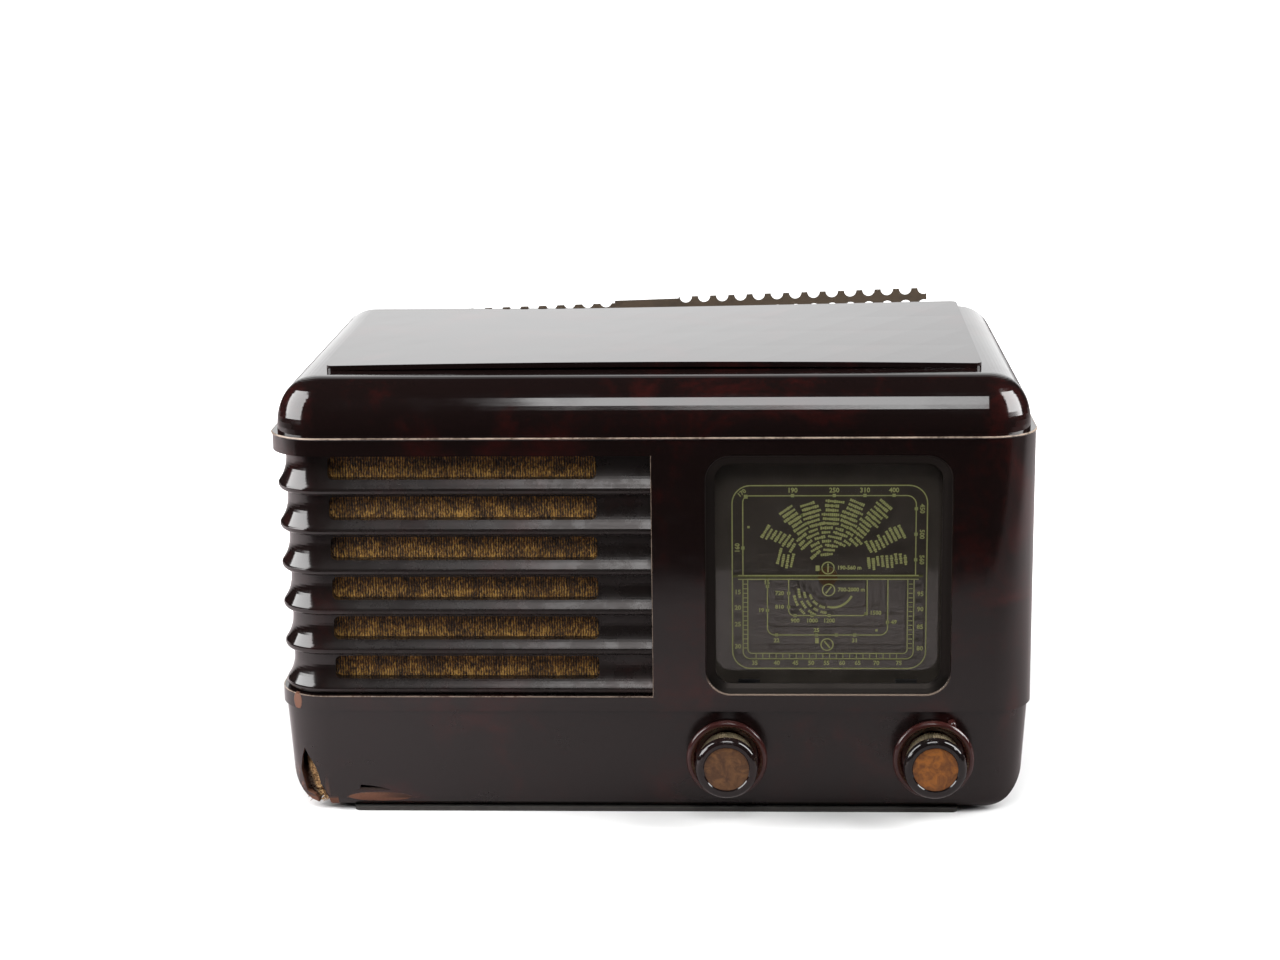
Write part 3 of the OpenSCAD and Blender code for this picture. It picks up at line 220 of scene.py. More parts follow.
# How far a point stands outside the lip's plane, negative inwards, round the front corners too
side_run = above_zero(abs(shell.x) - (half_width - corner_radius))
front_run = above_zero((lip_face + corner_radius) - shell.y)
stand = (side_run * side_run + front_run * front_run) ** 0.5 - corner_radius
rub = shell.grain(0.09, 4.0, 0.7)
fine_rub = shell.grain(0.9, 2.0, 0.6)

# Worn edges: the lip all round, the right and lower edges of the bay, and the window's lower edge.
# The lip's pale line is wear and also a painted highlight on its rounded edge
lip_line_width = 0.75
lip_out, lip_rise = stand + 0.2, shell.z - (lip_top - 0.1)
lip_wear_and_highlight = shell.fade(lip_out * lip_out + lip_rise * lip_rise, lip_line_width ** 2, 0.0)
lip_wear_and_highlight = lip_wear_and_highlight * (0.25 + 0.75 * shell.fade(rub + 0.35 * fine_rub, 0.45, 0.85))
bay_side_wear = shell.between(shell.x, bay_right - 0.2, bay_right + 0.25, 0.15)
bay_side_wear = bay_side_wear * shell.between(shell.z, bay_low, bay_high, 0.3)
bay_low_wear = shell.between(shell.z, bay_low - 0.3, bay_low + 0.2, 0.15)
bay_low_wear = bay_low_wear * shell.fade(shell.x, bay_right + 0.3, bay_right - 0.1)
bay_wear = (bay_side_wear + bay_low_wear) * shell.fade(stand, -1.6, -0.9)
bay_wear = bay_wear * (0.3 + 0.7 * shell.fade(rub + 0.3 * fine_rub, 0.45, 0.80))
window_run = above_zero(abs(shell.x - window_x) - (window_half - window_round))
window_rise = above_zero(abs(shell.z - window_z) - (window_half + 0.3 - window_round))
window_edge = (window_run * window_run + window_rise * window_rise) ** 0.5 - window_round
window_wear = shell.between(window_edge, -0.35, 0.35, 0.2) * shell.fade(shell.z, 70.0, 60.0)
window_wear = window_wear * shell.fade(stand, -1.6, -0.9)
wear_and_lip_highlight = lip_wear_and_highlight + 0.75 * bay_wear + 0.6 * window_wear
wear_and_lip_highlight = wear_and_lip_highlight.math("MINIMUM", wear_and_lip_highlight, 1.0)
worn_and_highlight_colour = shell.blend(fine_rub, WORN_AND_HIGHLIGHT, shade(WORN_AND_HIGHLIGHT, 1.5))

# The louvres hold dust that dulls them, least round the corner, and the window's frame holds more
bay_dust = shell.fade(stand, -1.3, -2.2) * shell.fade(shell.x, bay_right + 0.6, bay_right - 0.2)
bay_dust = bay_dust * shell.fade(shell.z, bay_low - 1.2, bay_low + 0.3)
bay_dust = bay_dust * shell.fade(shell.z, bay_high + 1.4, bay_high - 0.1)
bay_dust = bay_dust * shell.fade(shell.x, -168.0, -135.0)
bay_dust = bay_dust * (0.55 + 0.45 * shell.fade(rub, 0.35, 0.65))
frame_dust = shell.fade(window_edge, -0.1, -0.6) * shell.fade(shell.y, -84.0, -85.0)
shell_colour = shell.blend(0.75 * bay_dust, shell_colour, LOUVRE_DUST)
shell_colour = shell.blend(frame_dust, shell_colour, FRAME_DUST)

# Broken faces lie deeper than the base's own face, which leans inwards from the belt down
buried = 0.0 - stand - (belt_inset + base_lean * (belt_top - shell.z))
ragged = 1.2 * (shell.grain(0.35, 4.0, 0.7) - 0.5)


def oval(middle_x, middle_z, half_long, half_high, x_share, edge_share):
    """A mask's measure, 1 on the rim of an oval on the front, whose outline is ragged."""
    run = (shell.x - middle_x + x_share * ragged) * (1 / half_long)
    rise = (shell.z - middle_z) * (1 / half_high)
    return run * run + rise * rise + edge_share * ragged


base_front = shell.fade(shell.y, -80.5, -81.5)
chip = shell.between(shell.x, -146.0, -112.0, 0.3) * shell.between(shell.z, 6.5, 14.5, 0.3)
chip = chip * base_front
facet = shell.fade(oval(-130.0, 7.1, 15.0, 2.4, 1.0, 0.25), 1.05, 0.85) * base_front
wedge = shell.between(shell.x, -173.0, -150.0, 0.3) * shell.fade(shell.z, 32.2, 31.6)
wedge = wedge * shell.fade(shell.y, -70.5, -71.5)
belt_chip = shell.fade(oval(-167.4, 54.6, 2.1, 4.2, 0.6, 0.4), 1.1, 0.8)
belt_chip = belt_chip * shell.fade(shell.y, -76.0, -78.0) * shell.fade(stand, -3.0, -2.4)
broken = shell.fade(chip + wedge, 0.2, 0.8) * shell.fade(buried, 0.25, 0.5)
broken = shell.fade(broken + 0.9 * belt_chip + facet, 0.0, 1.0)
grit = shell.grain(1.1, 5.0, 0.8)
fracture_colour = shell.blend(grit, shade(FRACTURE, 0.35), FRACTURE)
# Painted shade: the chip's face is painted darker to the right, and its upper end is painted near
# black as the shade of a hollow
chip_shadow = 0.80 * chip * shell.fade(shell.x, -135.0, -119.0)
chip_hollow_shade = 0.92 * chip * shell.fade(shell.z, 9.0, 9.6)
fracture_colour = shell.blend(chip_shadow, fracture_colour, shade(FRACTURE, 0.10))
fracture_colour = shell.blend(chip_hollow_shade, fracture_colour, shade(FRACTURE, 0.04))
# Wear, and the painted highlight along the lip, in pale tan
shell_colour = shell.blend(wear_and_lip_highlight, shell_colour, worn_and_highlight_colour)
shell_colour = shell.blend(broken, shell_colour, fracture_colour)
# The base's front has lost its polish
satin = shell.fade(shell.z, 56.0, 49.0) * shell.fade(shell.y, -84.0, -88.0)
shell_roughness = shell_roughness + wear_and_lip_highlight * 0.35 + broken * 0.6 + bay_dust * 0.22 + frame_dust * 0.30
shell_roughness = shell_roughness + satin * (0.09 + 0.10 * rub)
scratches = shell.grain(0.5, 5.0, 0.85, (1.0, 1.0, 3.0))
relief = shell.grain(0.010, 2.0, 0.5) + broken * grit * 0.6 + 0.012 * scratches
# A share of metal lowers the shine of the dusty faces
shell.paint(Base_Color=shell_colour, Roughness=shell_roughness,
            Metallic=0.95 * frame_dust + 0.55 * bay_dust, Normal=shell.bump(relief, 0.5))
shell.on("cabinet")


# Fibres of the broken corner: the cloth filler of the moulding, torn open along the break. Dark
# strands fill the gap and a fringe of tan ones stands out from its right side.
def keep(mesh, name, body, finish):
    """Makes an object of a mesh, which rides on a body and wears a finish."""
    data = bpy.data.meshes.new(name)
    mesh.to_mesh(data)
    mesh.free()
    data.materials.append(finish.material)
    piece = bpy.data.objects.new(name, data)
    bpy.context.scene.collection.objects.link(piece)
    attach(piece, body)
    return piece


break_low, break_high = 2.0, 30.7
break_turn_low, break_turn_high = 3.0, 37.0
corner_x, corner_y = corner_radius - half_width, corner_radius + lip_face
strand_count, wall_inside = 330, (15.6, 16.8)
root_radius, tip_radius = 0.24 * MM, 0.08 * MM
fibres = bmesh.new()
fray = random.Random(23)
for i in range(strand_count):
    # Each strand lies along the inside of the rounded corner, from its root towards the left side
    fringe = i % 5 < 2
    z = fray.uniform(5.0, 24.0) if fringe else fray.uniform(4.5, 27.0)
    break_share = (z - break_low) / (break_high - break_low)
    turn = math.radians(break_turn_low + (break_turn_high - break_turn_low) * break_share)
    if fringe:
        turn += fray.uniform(-0.07, 0.06)
    else:
        turn += fray.uniform(0.08, 0.70) * (30.0 - z) / 30.0
    reach = fray.uniform(1.5, 3.2) if fringe else fray.uniform(2.0, 4.0)
    ends = []
    for end_turn, end_z in ((turn, z), (turn + reach / 17.0, z + reach * fray.uniform(-0.9, 0.4))):
        depth = fray.uniform(*wall_inside)
        end_x = corner_x - depth * math.sin(end_turn)
        ends.append(Vector((end_x, corner_y - depth * math.cos(end_turn), end_z)))
    lean = ends[1] - ends[0]
    place = Matrix.Translation((ends[0] + ends[1]) / 2 * MM)
    place = place @ lean.to_track_quat("Z", "Y").to_matrix().to_4x4()
    bmesh.ops.create_cone(fibres, cap_ends=True, segments=4, radius1=root_radius,
                          radius2=tip_radius, depth=lean.length * MM, matrix=place)
fibre_finish = Finish("torn_fibre")
strand = fibre_finish.grain(1.6, 3.0, 0.8)
# The tan side follows the break, which leans to the left
tan_share = fibre_finish.fade(fibre_finish.x + 0.383 * fibre_finish.z, -158.2, -155.8)
tan_share = tan_share * fibre_finish.fade(fibre_finish.z, 27.0, 20.0)
dark_fibre = fibre_finish.blend(strand, (0.016, 0.009, 0.005), (0.070, 0.038, 0.020))
tan_fibre = fibre_finish.blend(
    fibre_finish.fade(strand, 0.42, 0.64), (0.090, 0.038, 0.012), (0.72, 0.46, 0.20))
fibre_finish.paint(Base_Color=fibre_finish.blend(tan_share, dark_fibre, tan_fibre),
                   Roughness=0.80 + 0.1 * strand)
keep(fibres, "corner_fibres", "cabinet", fibre_finish)

# Top plate: a thin sheet of the same material that lies loose on the shoulder and has warped. It
# is polished, with the faint ripple of a pressed sheet.
plate_finish, plate_colour, plate_roughness = bakelite("top_plate_bakelite", gloss=0.04)
ripple = plate_finish.grain(0.011, 2.0, 0.4)
plate_finish.paint(
    Base_Color=plate_colour, Roughness=plate_roughness, Normal=plate_finish.bump(ripple, 0.25))
plate_finish.on("top_plate")


# Back: brown fibre board, punched with rows of vent holes and cut to the opening. It has torn along
# its highest row, and the strip from above the tear leans behind the top plate.
def fibre_board(name, dark, light):
    finish = Finish(name)
    felted = finish.grain(0.55, 5.0, 0.75, (0.25, 1.0, 1.0))
    flecks = finish.grain(2.2, 3.0, 0.8)
    colour = finish.blend(0.6 * felted + 0.5 * flecks, dark, light)
    stains = finish.fade(finish.grain(0.05, 4.0, 0.6), 0.50, 0.72)
    colour = finish.blend(0.45 * stains, colour, shade(dark, 0.35))
    finish.paint(Base_Color=colour, Roughness=0.72 + 0.15 * flecks,
                 Normal=finish.bump(0.5 * felted + 0.5 * flecks, 0.12))
    return finish


fibre_board("back_fibre", (0.024, 0.015, 0.008), (0.072, 0.047, 0.026)).on("back_cover", "back_strip")


# Screws, bolts, clips and the chassis: steel, plated and dulled. A cloudy tarnish dulls the plating
# and the edges of sheet keep the rolling lines.
def metal(name, colour, tarnish, roughness, cloud=0.04, rolled=(1.0, 1.0, 1.0)):
    finish = Finish(name)
    clouds = finish.fade(finish.grain(cloud, 5.0, 0.65), 0.35, 0.70)
    lines = finish.grain(0.8, 3.0, 0.6, rolled)
    surface = finish.blend(clouds, colour, tarnish)
    surface = finish.blend(0.25 * lines, surface, shade(colour, 0.5))
    finish.paint(Base_Color=surface, Metallic=1.0 - 0.35 * clouds,
                 Roughness=roughness + 0.22 * clouds + 0.08 * lines,
                 Normal=finish.bump(lines, 0.02))
    return finish


plated = metal("plated_steel", (0.56, 0.57, 0.56), (0.30, 0.28, 0.24), 0.32, rolled=(0.1, 1.0, 1.0))
plated.on("chassis", "chassis_bolts", "back_screws", "spindle_bracket",
          "condenser_frame", "speaker_bolts", "speaker_magnet", "tuning_spindle", "waveband_sleeve",
          "volume_spindle", "tone_sleeve")
aluminium = metal("aluminium_sheet", (0.78, 0.79, 0.80), (0.55, 0.55, 0.54), 0.28, 0.06)
aluminium.on("condenser_rotor", "condenser_stator", "drive_drum", "smoothing_condenser",
             "first_coil_can", "second_coil_can")
turned_brass = metal("turned_brass", (0.66, 0.50, 0.22), (0.26, 0.18, 0.08), 0.30, 0.10)
turned_brass.on("spindle_bushes", "sockets", "scale_lamps")
enamel = metal("black_enamel", (0.030, 0.030, 0.032), (0.020, 0.018, 0.016), 0.45)
enamel.paint(Metallic=0.0)
enamel.on("speaker_frame", "output_transformer", "mains_transformer", "glass_clips")

# Pointer: a thin arm on the condenser's spindle, painted a dull olive. Its hub is a red brown that
# shows dimly through the scale.
dial_z, hub_inside, hub_outside = 113.3, 4.24, 4.90
pointer_paint = Finish("pointer_paint")
pointer_grain = pointer_paint.grain(0.6, 4.0, 0.7)
hub_x, hub_z = pointer_paint.x - window_x, pointer_paint.z - dial_z
hub_share = pointer_paint.fade(hub_x * hub_x + hub_z * hub_z, hub_outside ** 2, hub_inside ** 2)
bar_paint = pointer_paint.blend(pointer_grain, (0.040, 0.042, 0.012), (0.075, 0.078, 0.024))
hub_paint = pointer_paint.blend(pointer_grain, (0.022, 0.012, 0.006), (0.060, 0.030, 0.012))
pointer_paint.paint(Base_Color=pointer_paint.blend(hub_share, bar_paint, hub_paint),
                    Roughness=0.55 + 0.2 * pointer_grain)
pointer_paint.shader.inputs["Specular IOR Level"].default_value = 0.15
pointer_paint.on("pointer")

# Feet and the outlet of the mains lead: black rubber, hardened and greyed with dust.
rubber = Finish("old_rubber")
bloom = rubber.grain(0.25, 5.0, 0.7)
rubber.paint(Base_Color=rubber.blend(bloom, (0.010, 0.010, 0.010), (0.060, 0.056, 0.050)),
             Roughness=0.60 + 0.25 * bloom, Normal=rubber.bump(rubber.grain(1.5), 0.05))
rubber.on("feet", "lead_grommet")

# Scale glass: flat sheet glass in a bed behind the window, held by clips. It lets light straight
# through, less a thin film of dust; the mirror image in it is given to the pan close behind.
clear = Finish("scale_glass_clear")
dust = clear.fade(clear.grain(0.045, 5.0, 0.7), 0.45, 0.80)
clear.paint(Base_Color=(0.30, 0.28, 0.25), Roughness=0.5, Alpha=0.03 * dust)
clear.on("scale_glass")

# Printed scale: yellow-green enamel lines, plain numbers and bars on the back of the glass, with
# rings of short bars where such scales name stations. Each line is a flat ribbon, 0.05 mm behind it.
scale_print = bmesh.new()
print_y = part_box("scale_glass")[1][1] + 0.05 * MM
fan_x, fan_z = window_x, 118.7


def arc(centre_x, centre_z, radius, start, end, step=6.0):
    """Points on an arc in the glass's plane: millimetres, and degrees anticlockwise from +X."""
    count = max(2, math.ceil(abs(end - start) / step))
    angles = (math.radians(start + (end - start) * i / count) for i in range(count + 1))
    return [(centre_x + radius * math.cos(a), centre_z + radius * math.sin(a)) for a in angles]


def stroke(points, width, closed=False):
    """A flat line of even width, in millimetres, that faces the front."""
    count = len(points)
    rims = []
    for i, (x, z) in enumerate(points):
        before = points[i - 1] if closed or i else points[i]
        after = points[(i + 1) % count] if closed or i < count - 1 else points[i]
        along = Vector((after[0] - before[0], after[1] - before[1])).normalized()
        side = Vector((-along.y, along.x)) * width / 2
        rims.append([scale_print.verts.new(((x + s * side.x) * MM, print_y, (z + s * side.y) * MM))
                     for s in (-1, 1)])
    for i in range(count if closed else count - 1):
        a, b = rims[i], rims[(i + 1) % count]
        scale_print.faces.new((a[0], b[0], b[1], a[1]))


def rounded(x0, x1, z0, z1, radius):
    corners = ((x1 - radius, z1 - radius, 0), (x0 + radius, z1 - radius, 90),
               (x0 + radius, z0 + radius, 180), (x1 - radius, z0 + radius, 270))
    return [point for x, z, start in corners for point in arc(x, z, radius, start, start + 90, 12.0)]


def bent(x0, x1, top, low, radius):
    """Points down a side, along the bottom and up the other side."""
    return [(x0, top), *arc(x0 + radius, low + radius, radius, 180, 270, 12.0),
            *arc(x1 - radius, low + radius, radius, 270, 360, 12.0), (x1, top)]


def number(text, x, z, size=2.3, turn=0.0):
    """Figures as a flat mesh, the middle of the text at x and z."""
    figures = bpy.data.curves.new("figures", "FONT")
    figures.body = text
    figures.size = size * 1.35 * MM
    figures.align_x, figures.align_y = "CENTER", "CENTER"
    figures.resolution_u = 2
    figures.offset = 0.09 * MM
    holder = bpy.data.objects.new("figures", figures)
    bpy.context.scene.collection.objects.link(holder)
    bpy.context.view_layer.update()
    flat = bpy.data.meshes.new_from_object(holder.evaluated_get(bpy.context.evaluated_depsgraph_get()))
    flat.transform(
        Matrix.Translation((x * MM, print_y, z * MM)) @ Matrix.Rotation(math.radians(turn), 4, "Y")
        @ Matrix.Rotation(math.radians(90), 4, "X"))
    scale_print.from_mesh(flat)
    bpy.data.meshes.remove(flat)
    bpy.data.objects.remove(holder)
    bpy.data.curves.remove(figures)


def tick(x, z, wide=1.5, high=1.5):
    stroke([(x - wide / 2, z), (x + wide / 2, z)], high)


stroke(rounded(37.1, 126.5, 70.1, 157.6, 8.4), 0.55, closed=True)
stroke([(42.0, 114.9), (42.0, 148.5), *arc(45.0, 149.8, 3.0, 180, 90, 15.0),
        *arc(117.1, 148.5, 4.3, 90, 0, 12.0), (121.4, 114.9)], 0.5)
stroke([(39.7, 114.9), (122.9, 114.9)], 0.55)
stroke([(39.7, 113.1), (122.9, 113.1)], 0.5)
for edge in (42.0, 44.2):
    inside = edge - 42.0
    stroke(bent(edge, 120.8 - 1.3 * inside, 113.1, 74.8 + 1.18 * inside, 3.5 - 0.7 * inside), 0.45)
for i in range(15):
    for x in (43.1, 119.3):
        stroke([(x - 0.9, 80.0 + 2.2 * i), (x + 0.9, 80.0 + 2.2 * i)], 0.4)
for i in range(22):
    stroke([(48.0 + 3.1 * i, 75.2), (48.0 + 3.1 * i, 77.0)], 0.4)
for x, text in ((64.8, "190"), (83.9, "250"), (97.9, "310"), (111.2, "400")):
    tick(x, 152.9)
    number(text, x, 155.3)
tick(43.4, 152.4, 1.8, 1.8)
number("170", 41.6, 154.1, 2.1, -38.0)
for z, text in ((146.6, "450"), (134.5, "500"), (122.4, "560")):
    tick(121.4, z)
    number(text, 124.1, z, 2.2, 90.0)
tick(42.0, 128.1)
number("160", 39.5, 128.1, 2.2, -90.0)
for dot in ((44.6, 138.0), (103.7, 88.6)):
    tick(*dot, 1.1, 1.1)

# Fan of bars: full rows near the middle, then upright stacks that reach outwards between gaps
bars = random.Random(11)
stacks = ((168, 16, 25, 3.4), (148, 21, 34, 3.0), (124, 21, 35, 3.3), (107, 21, 32, 4.0),
          (86, 21, 32, 3.8), (67, 21, 34, 3.4), (49, 21, 40, 3.4), (27, 21, 39, 2.9), (6, 17, 37, 2.8))
for level in range(17):
    radius = 6.3 + 2.1 * level
    words = []
    if radius < 20.5:
        angle = 70.0 - 2.6 * (radius - 6.3) + bars.uniform(-6.0, 6.0)
        limit = 112.0 + 3.0 * (radius - 6.3)
        while angle < limit:
            reach = bars.uniform(3.6, 7.4)
            words.append((angle, reach))
            angle += math.degrees((reach + 1.1) / radius)
    for middle, nearest, farthest, half in stacks:
        if nearest <= radius <= farthest:
            reach = 2.5 * half * bars.uniform(0.62, 1.0)
            start = math.degrees((half * bars.uniform(-0.3, 0.3) - reach / 2) / radius)
            words.append((middle + start, reach))
    for angle, reach in words:
        # A word is a straight row of short blocks, square to the line from the middle
        middle = math.radians(angle) + reach / 2 / radius
        centre = Vector((fan_x + radius * math.cos(middle), fan_z + radius * math.sin(middle)))
        along = Vector((math.sin(middle), -math.cos(middle)))
        blocks = max(3, round(reach / 0.95))
        for block in range(blocks):
            left = centre + along * reach * (block / blocks - 0.5)
            right = left + along * (reach / blocks - 0.14)
            stroke([tuple(left), tuple(right)], bars.choice((1.0, 1.2, 1.45)))

# Marks of the wavebands, their frames with ticks and numbers, and the arcs between
for x, z, slant in ((81.2, 118.5, 90), (81.5, 108.0, 52), (80.9, 81.7, 128)):
    stroke(arc(x, z, 2.8, 0, 348, 12.0), 0.55, closed=True)
    run, rise = 2.1 * math.cos(math.radians(slant)), 2.1 * math.sin(math.radians(slant))
    stroke([(x - run, z - rise), (x + run, z + rise)], 0.7)
number("190-560 m", 91.0, 118.6, 1.9)
number("700-2000 m", 92.0, 108.1, 1.9)
tick(76.4, 118.4, 1.8, 2.6)
tick(76.2, 83.6, 1.6, 2.6)
for x0, x1, low, radius in ((63.1, 99.3, 95.7, 2.5), (53.3, 108.8, 86.3, 3.5)):
    stroke(bent(x0, x1, 113.1, low, radius), 0.5)
for x, z, text, label_x, label_z in (
        (63.1, 106.4, "720", 58.9, 106.4), (63.1, 99.8, "810", 58.9, 99.8),
        (66.1, 95.7, "900", 66.1, 93.2), (73.9, 95.7, "1000", 73.9, 93.2),
        (81.8, 95.7, "1200", 81.8, 93.2), (98.9, 96.6, "1500", 103.2, 96.9),
        (53.3, 109.7, "16", 53.0, 111.6), (53.3, 98.2, "19", 50.4, 98.2),
        (57.5, 86.3, "22", 57.5, 83.6), (76.0, 86.3, "25", 76.0, 88.6),
        (85.2, 86.3, "", 0.0, 0.0), (93.7, 86.3, "31", 93.7, 83.6), (108.8, 92.5, "49", 111.7, 92.5)):
    tick(x, z, 1.5, 1.4)
    if text:
        number(text, label_x, label_z, 2.0)
for x, heights in ((39.6, (106.9, 99.4, 91.4, 80.7)), (123.8, (106.0, 98.7, 90.2, 79.8))):
    for i, z in enumerate(heights):
        number(str((15, 20, 25, 30)[i] if x < 80 else (95, 90, 85, 80)[i]), x, z, 2.2)
for i, x in enumerate((47.4, 57.6, 66.3, 73.6, 80.7, 87.9, 95.2, 103.8, 114.2)):
    number(str(35 + 5 * i), x, 72.7, 2.1)
for radius, start, end in ((16.0, 190, 224), (13.6, 178, 240), (11.2, 186, 254), (8.8, 196, 262)):
    angle = start
    while angle < end:
        reach = bars.uniform(12.0, 22.0)
        for i in range(4):
            part = angle + reach * i / 4
            stroke(arc(81.4, 108.2, radius, part, part + reach / 4 - 0.8, 4.0), 1.2)
        angle += reach + 6.0
spiral = [arc(81.4, 108.2, 8.2 + 3.0 * i / 12, -93 + 77 * i / 12, -93 + 77 * i / 12, 1.0)[0]
          for i in range(13)]
stroke(spiral, 1.0)
print_enamel = Finish("scale_print_enamel")
print_wear = print_enamel.grain(0.8, 4.0, 0.7)
print_enamel.paint(
    Base_Color=print_enamel.blend(print_wear, (0.100, 0.108, 0.032), (0.235, 0.245, 0.080)),
    Roughness=0.5 + 0.2 * print_wear)
keep(scale_print, "scale_print", "cabinet", print_enamel)

# Pan behind the glass: pressed steel, painted a dull black that has dusted over. Its clear coat
# stands for the glass in front of it and gives the mirror image that is seen in the window.
pan_paint = Finish("scale_pan_paint")
pan_dust = pan_paint.grain(0.06, 5.0, 0.65)
pan_colour = pan_paint.blend(pan_dust, (0.0265, 0.0220, 0.0180), (0.0430, 0.0365, 0.0300))
pan_paint.paint(Base_Color=pan_colour, Roughness=0.55 + 0.2 * pan_dust,
                Normal=pan_paint.bump(pan_paint.grain(1.2), 0.03))
pan_paint.shader.inputs["Specular IOR Level"].default_value = 0.1
pan_paint.shader.inputs["Coat Weight"].default_value = 1.0
pan_paint.shader.inputs["Coat Roughness"].default_value = 0.05
pan_paint.shader.inputs["Coat IOR"].default_value = 1.62
pan_paint.on("scale_pan")

# Controls: bakelite rims and outer rings, a milled brass grip under each rim, and a coloured disc
# of cast resin let into each face.
rim_finish, rim_colour, rim_roughness = bakelite(
    "knob_bakelite", (0.007, 0.005, 0.005), (0.02, 0.006, 0.005))
rim_finish.paint(Base_Color=rim_colour, Roughness=rim_roughness)
rim_finish.on("tuning_knob", "volume_knob")
ring_finish, ring_colour, ring_roughness = bakelite(
    "ring_bakelite", (0.030, 0.0085, 0.0075), (0.060, 0.014, 0.011))
ring_finish.paint(Base_Color=ring_colour, Roughness=ring_roughness + 0.06)
ring_finish.on("waveband_ring", "tone_ring")


def resin(name, dark, light):
    finish = Finish(name)
    swirl = finish.grain(0.16, 5.0, 0.7, distortion=1.2)
    pits = finish.grain(1.3, 3.0, 0.7)
    colour = finish.blend(finish.fade(swirl, 0.30, 0.70), dark, light)
    finish.paint(Base_Color=colour, Roughness=0.34 + 0.2 * pits, Normal=finish.bump(pits, 0.06))
    return finish


resin("left_disc_resin", (0.055, 0.022, 0.008), (0.165, 0.074, 0.024)).on("volume_disc")
resin("right_disc_resin", (0.110, 0.036, 0.007), (0.330, 0.112, 0.014)).on("tuning_disc")

# Milled grips: a brass tube under each rim, cut with straight lines all round for the fingers.
grip_brass = metal("grip_brass", (0.50, 0.42, 0.27), (0.24, 0.19, 0.12), 0.35, 0.3)
grip_lines, grip_depth, grip_wall = 66, 0.38, 0.86
for side in ("tuning", "volume"):
    low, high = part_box(side + "_grip")
    centre_x, centre_z = (low[0] + high[0]) / 2, (low[2] + high[2]) / 2
    outer = (high[0] - low[0]) / 2
    grip = bmesh.new()
    bmesh.ops.create_circle(grip, segments=2 * grip_lines, radius=outer)
    for vertex in grip.verts:
        step = round(math.atan2(vertex.co.y, vertex.co.x) / math.tau * 2 * grip_lines)
        if step % 2:
            vertex.co *= 1.0 - grip_depth * MM / outer
    walls = bmesh.ops.extrude_edge_only(grip, edges=grip.edges[:])
    top = [part for part in walls["geom"] if isinstance(part, bmesh.types.BMVert)]
    bmesh.ops.translate(grip, vec=(0.0, 0.0, high[1] - low[1]), verts=top)
    inner = bmesh.ops.duplicate(grip, geom=grip.verts[:] + grip.edges[:] + grip.faces[:])
    bore = [part for part in inner["geom"] if isinstance(part, bmesh.types.BMVert)]
    for vertex in bore:
        vertex.co.xy = vertex.co.xy.normalized() * (outer - grip_wall * MM)
    open_edges = [edge for edge in grip.edges if edge.is_boundary]
    for level in (0.0, high[1] - low[1]):
        bmesh.ops.bridge_loops(grip, edges=[
            edge for edge in open_edges if abs(edge.verts[0].co.z - level) < 1e-6])
    bmesh.ops.rotate(grip, matrix=Matrix.Rotation(math.radians(90), 3, "X"), verts=grip.verts)
    bmesh.ops.translate(grip, vec=(centre_x, high[1], centre_z), verts=grip.verts)
    bmesh.ops.recalc_face_normals(grip, faces=grip.faces)
    piece = keep(grip, side + "_milled_grip", side, grip_brass)
    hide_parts(side + "_grip")

# Works behind the front: laminate, moulded sockets, board, paper, copper windings and valves.
laminate = Finish("brown_laminate")
layers = laminate.grain(0.5, 4.0, 0.6, (1.0, 0.2, 1.0))
laminate.paint(Base_Color=laminate.blend(layers, (0.10, 0.045, 0.018), (0.19, 0.095, 0.038)),
               Roughness=0.38 + 0.15 * layers)
laminate.on("tone_control", "volume_control", "waveband_switch", "socket_panel")
moulded = Finish("moulded_black")
moulded_specks = moulded.grain(0.9, 4.0, 0.7)
moulded.paint(Base_Color=moulded.blend(moulded_specks, (0.010, 0.008, 0.007), (0.028, 0.022, 0.018)),
              Roughness=0.30 + 0.2 * moulded_specks)
moulded.on("valve_sockets")
baffle = fibre_board("baffle_board", (0.13, 0.075, 0.035), (0.30, 0.20, 0.11))
baffle.on("speaker_board")
cone_paper = fibre_board("cone_paper", (0.045, 0.038, 0.030), (0.11, 0.095, 0.075))
cone_paper.on("speaker_cone")
twine = fibre_board("drive_cord_twine", (0.20, 0.15, 0.08), (0.42, 0.34, 0.20))
twine.on("drive_cord")
winding = Finish("enamelled_copper")
turns = winding.node("TexWave", {"wave_type": "BANDS", "bands_direction": "Z"}, {
    "Vector": winding.place, "Scale": 0.6, "Distortion": 0.4, "Detail": 2.0})
winding.paint(Base_Color=winding.blend(turns, (0.10, 0.028, 0.010), (0.48, 0.20, 0.08)),
              Metallic=0.7, Roughness=0.35 + 0.2 * turns, Normal=winding.bump(turns, 0.15))
winding.on("transformer_windings", "aerial_coil")
valve_paint = metal("valve_metal_paint", (0.36, 0.10, 0.045), (0.20, 0.09, 0.05), 0.42)
valve_paint.on("mixer_valve", "amplifier_valve")
bulb = Finish("valve_glass")
silvering = bulb.fade(bulb.z + 10.0 * bulb.grain(0.05), 130.0, 122.0)
bulb.paint(Base_Color=bulb.blend(silvering, (0.32, 0.33, 0.34), (0.10, 0.105, 0.11)),
           Metallic=0.9 * (1.0 - silvering), Roughness=0.06 + 0.1 * bulb.grain(0.2))
bulb.on("output_valve", "rectifier_valve")

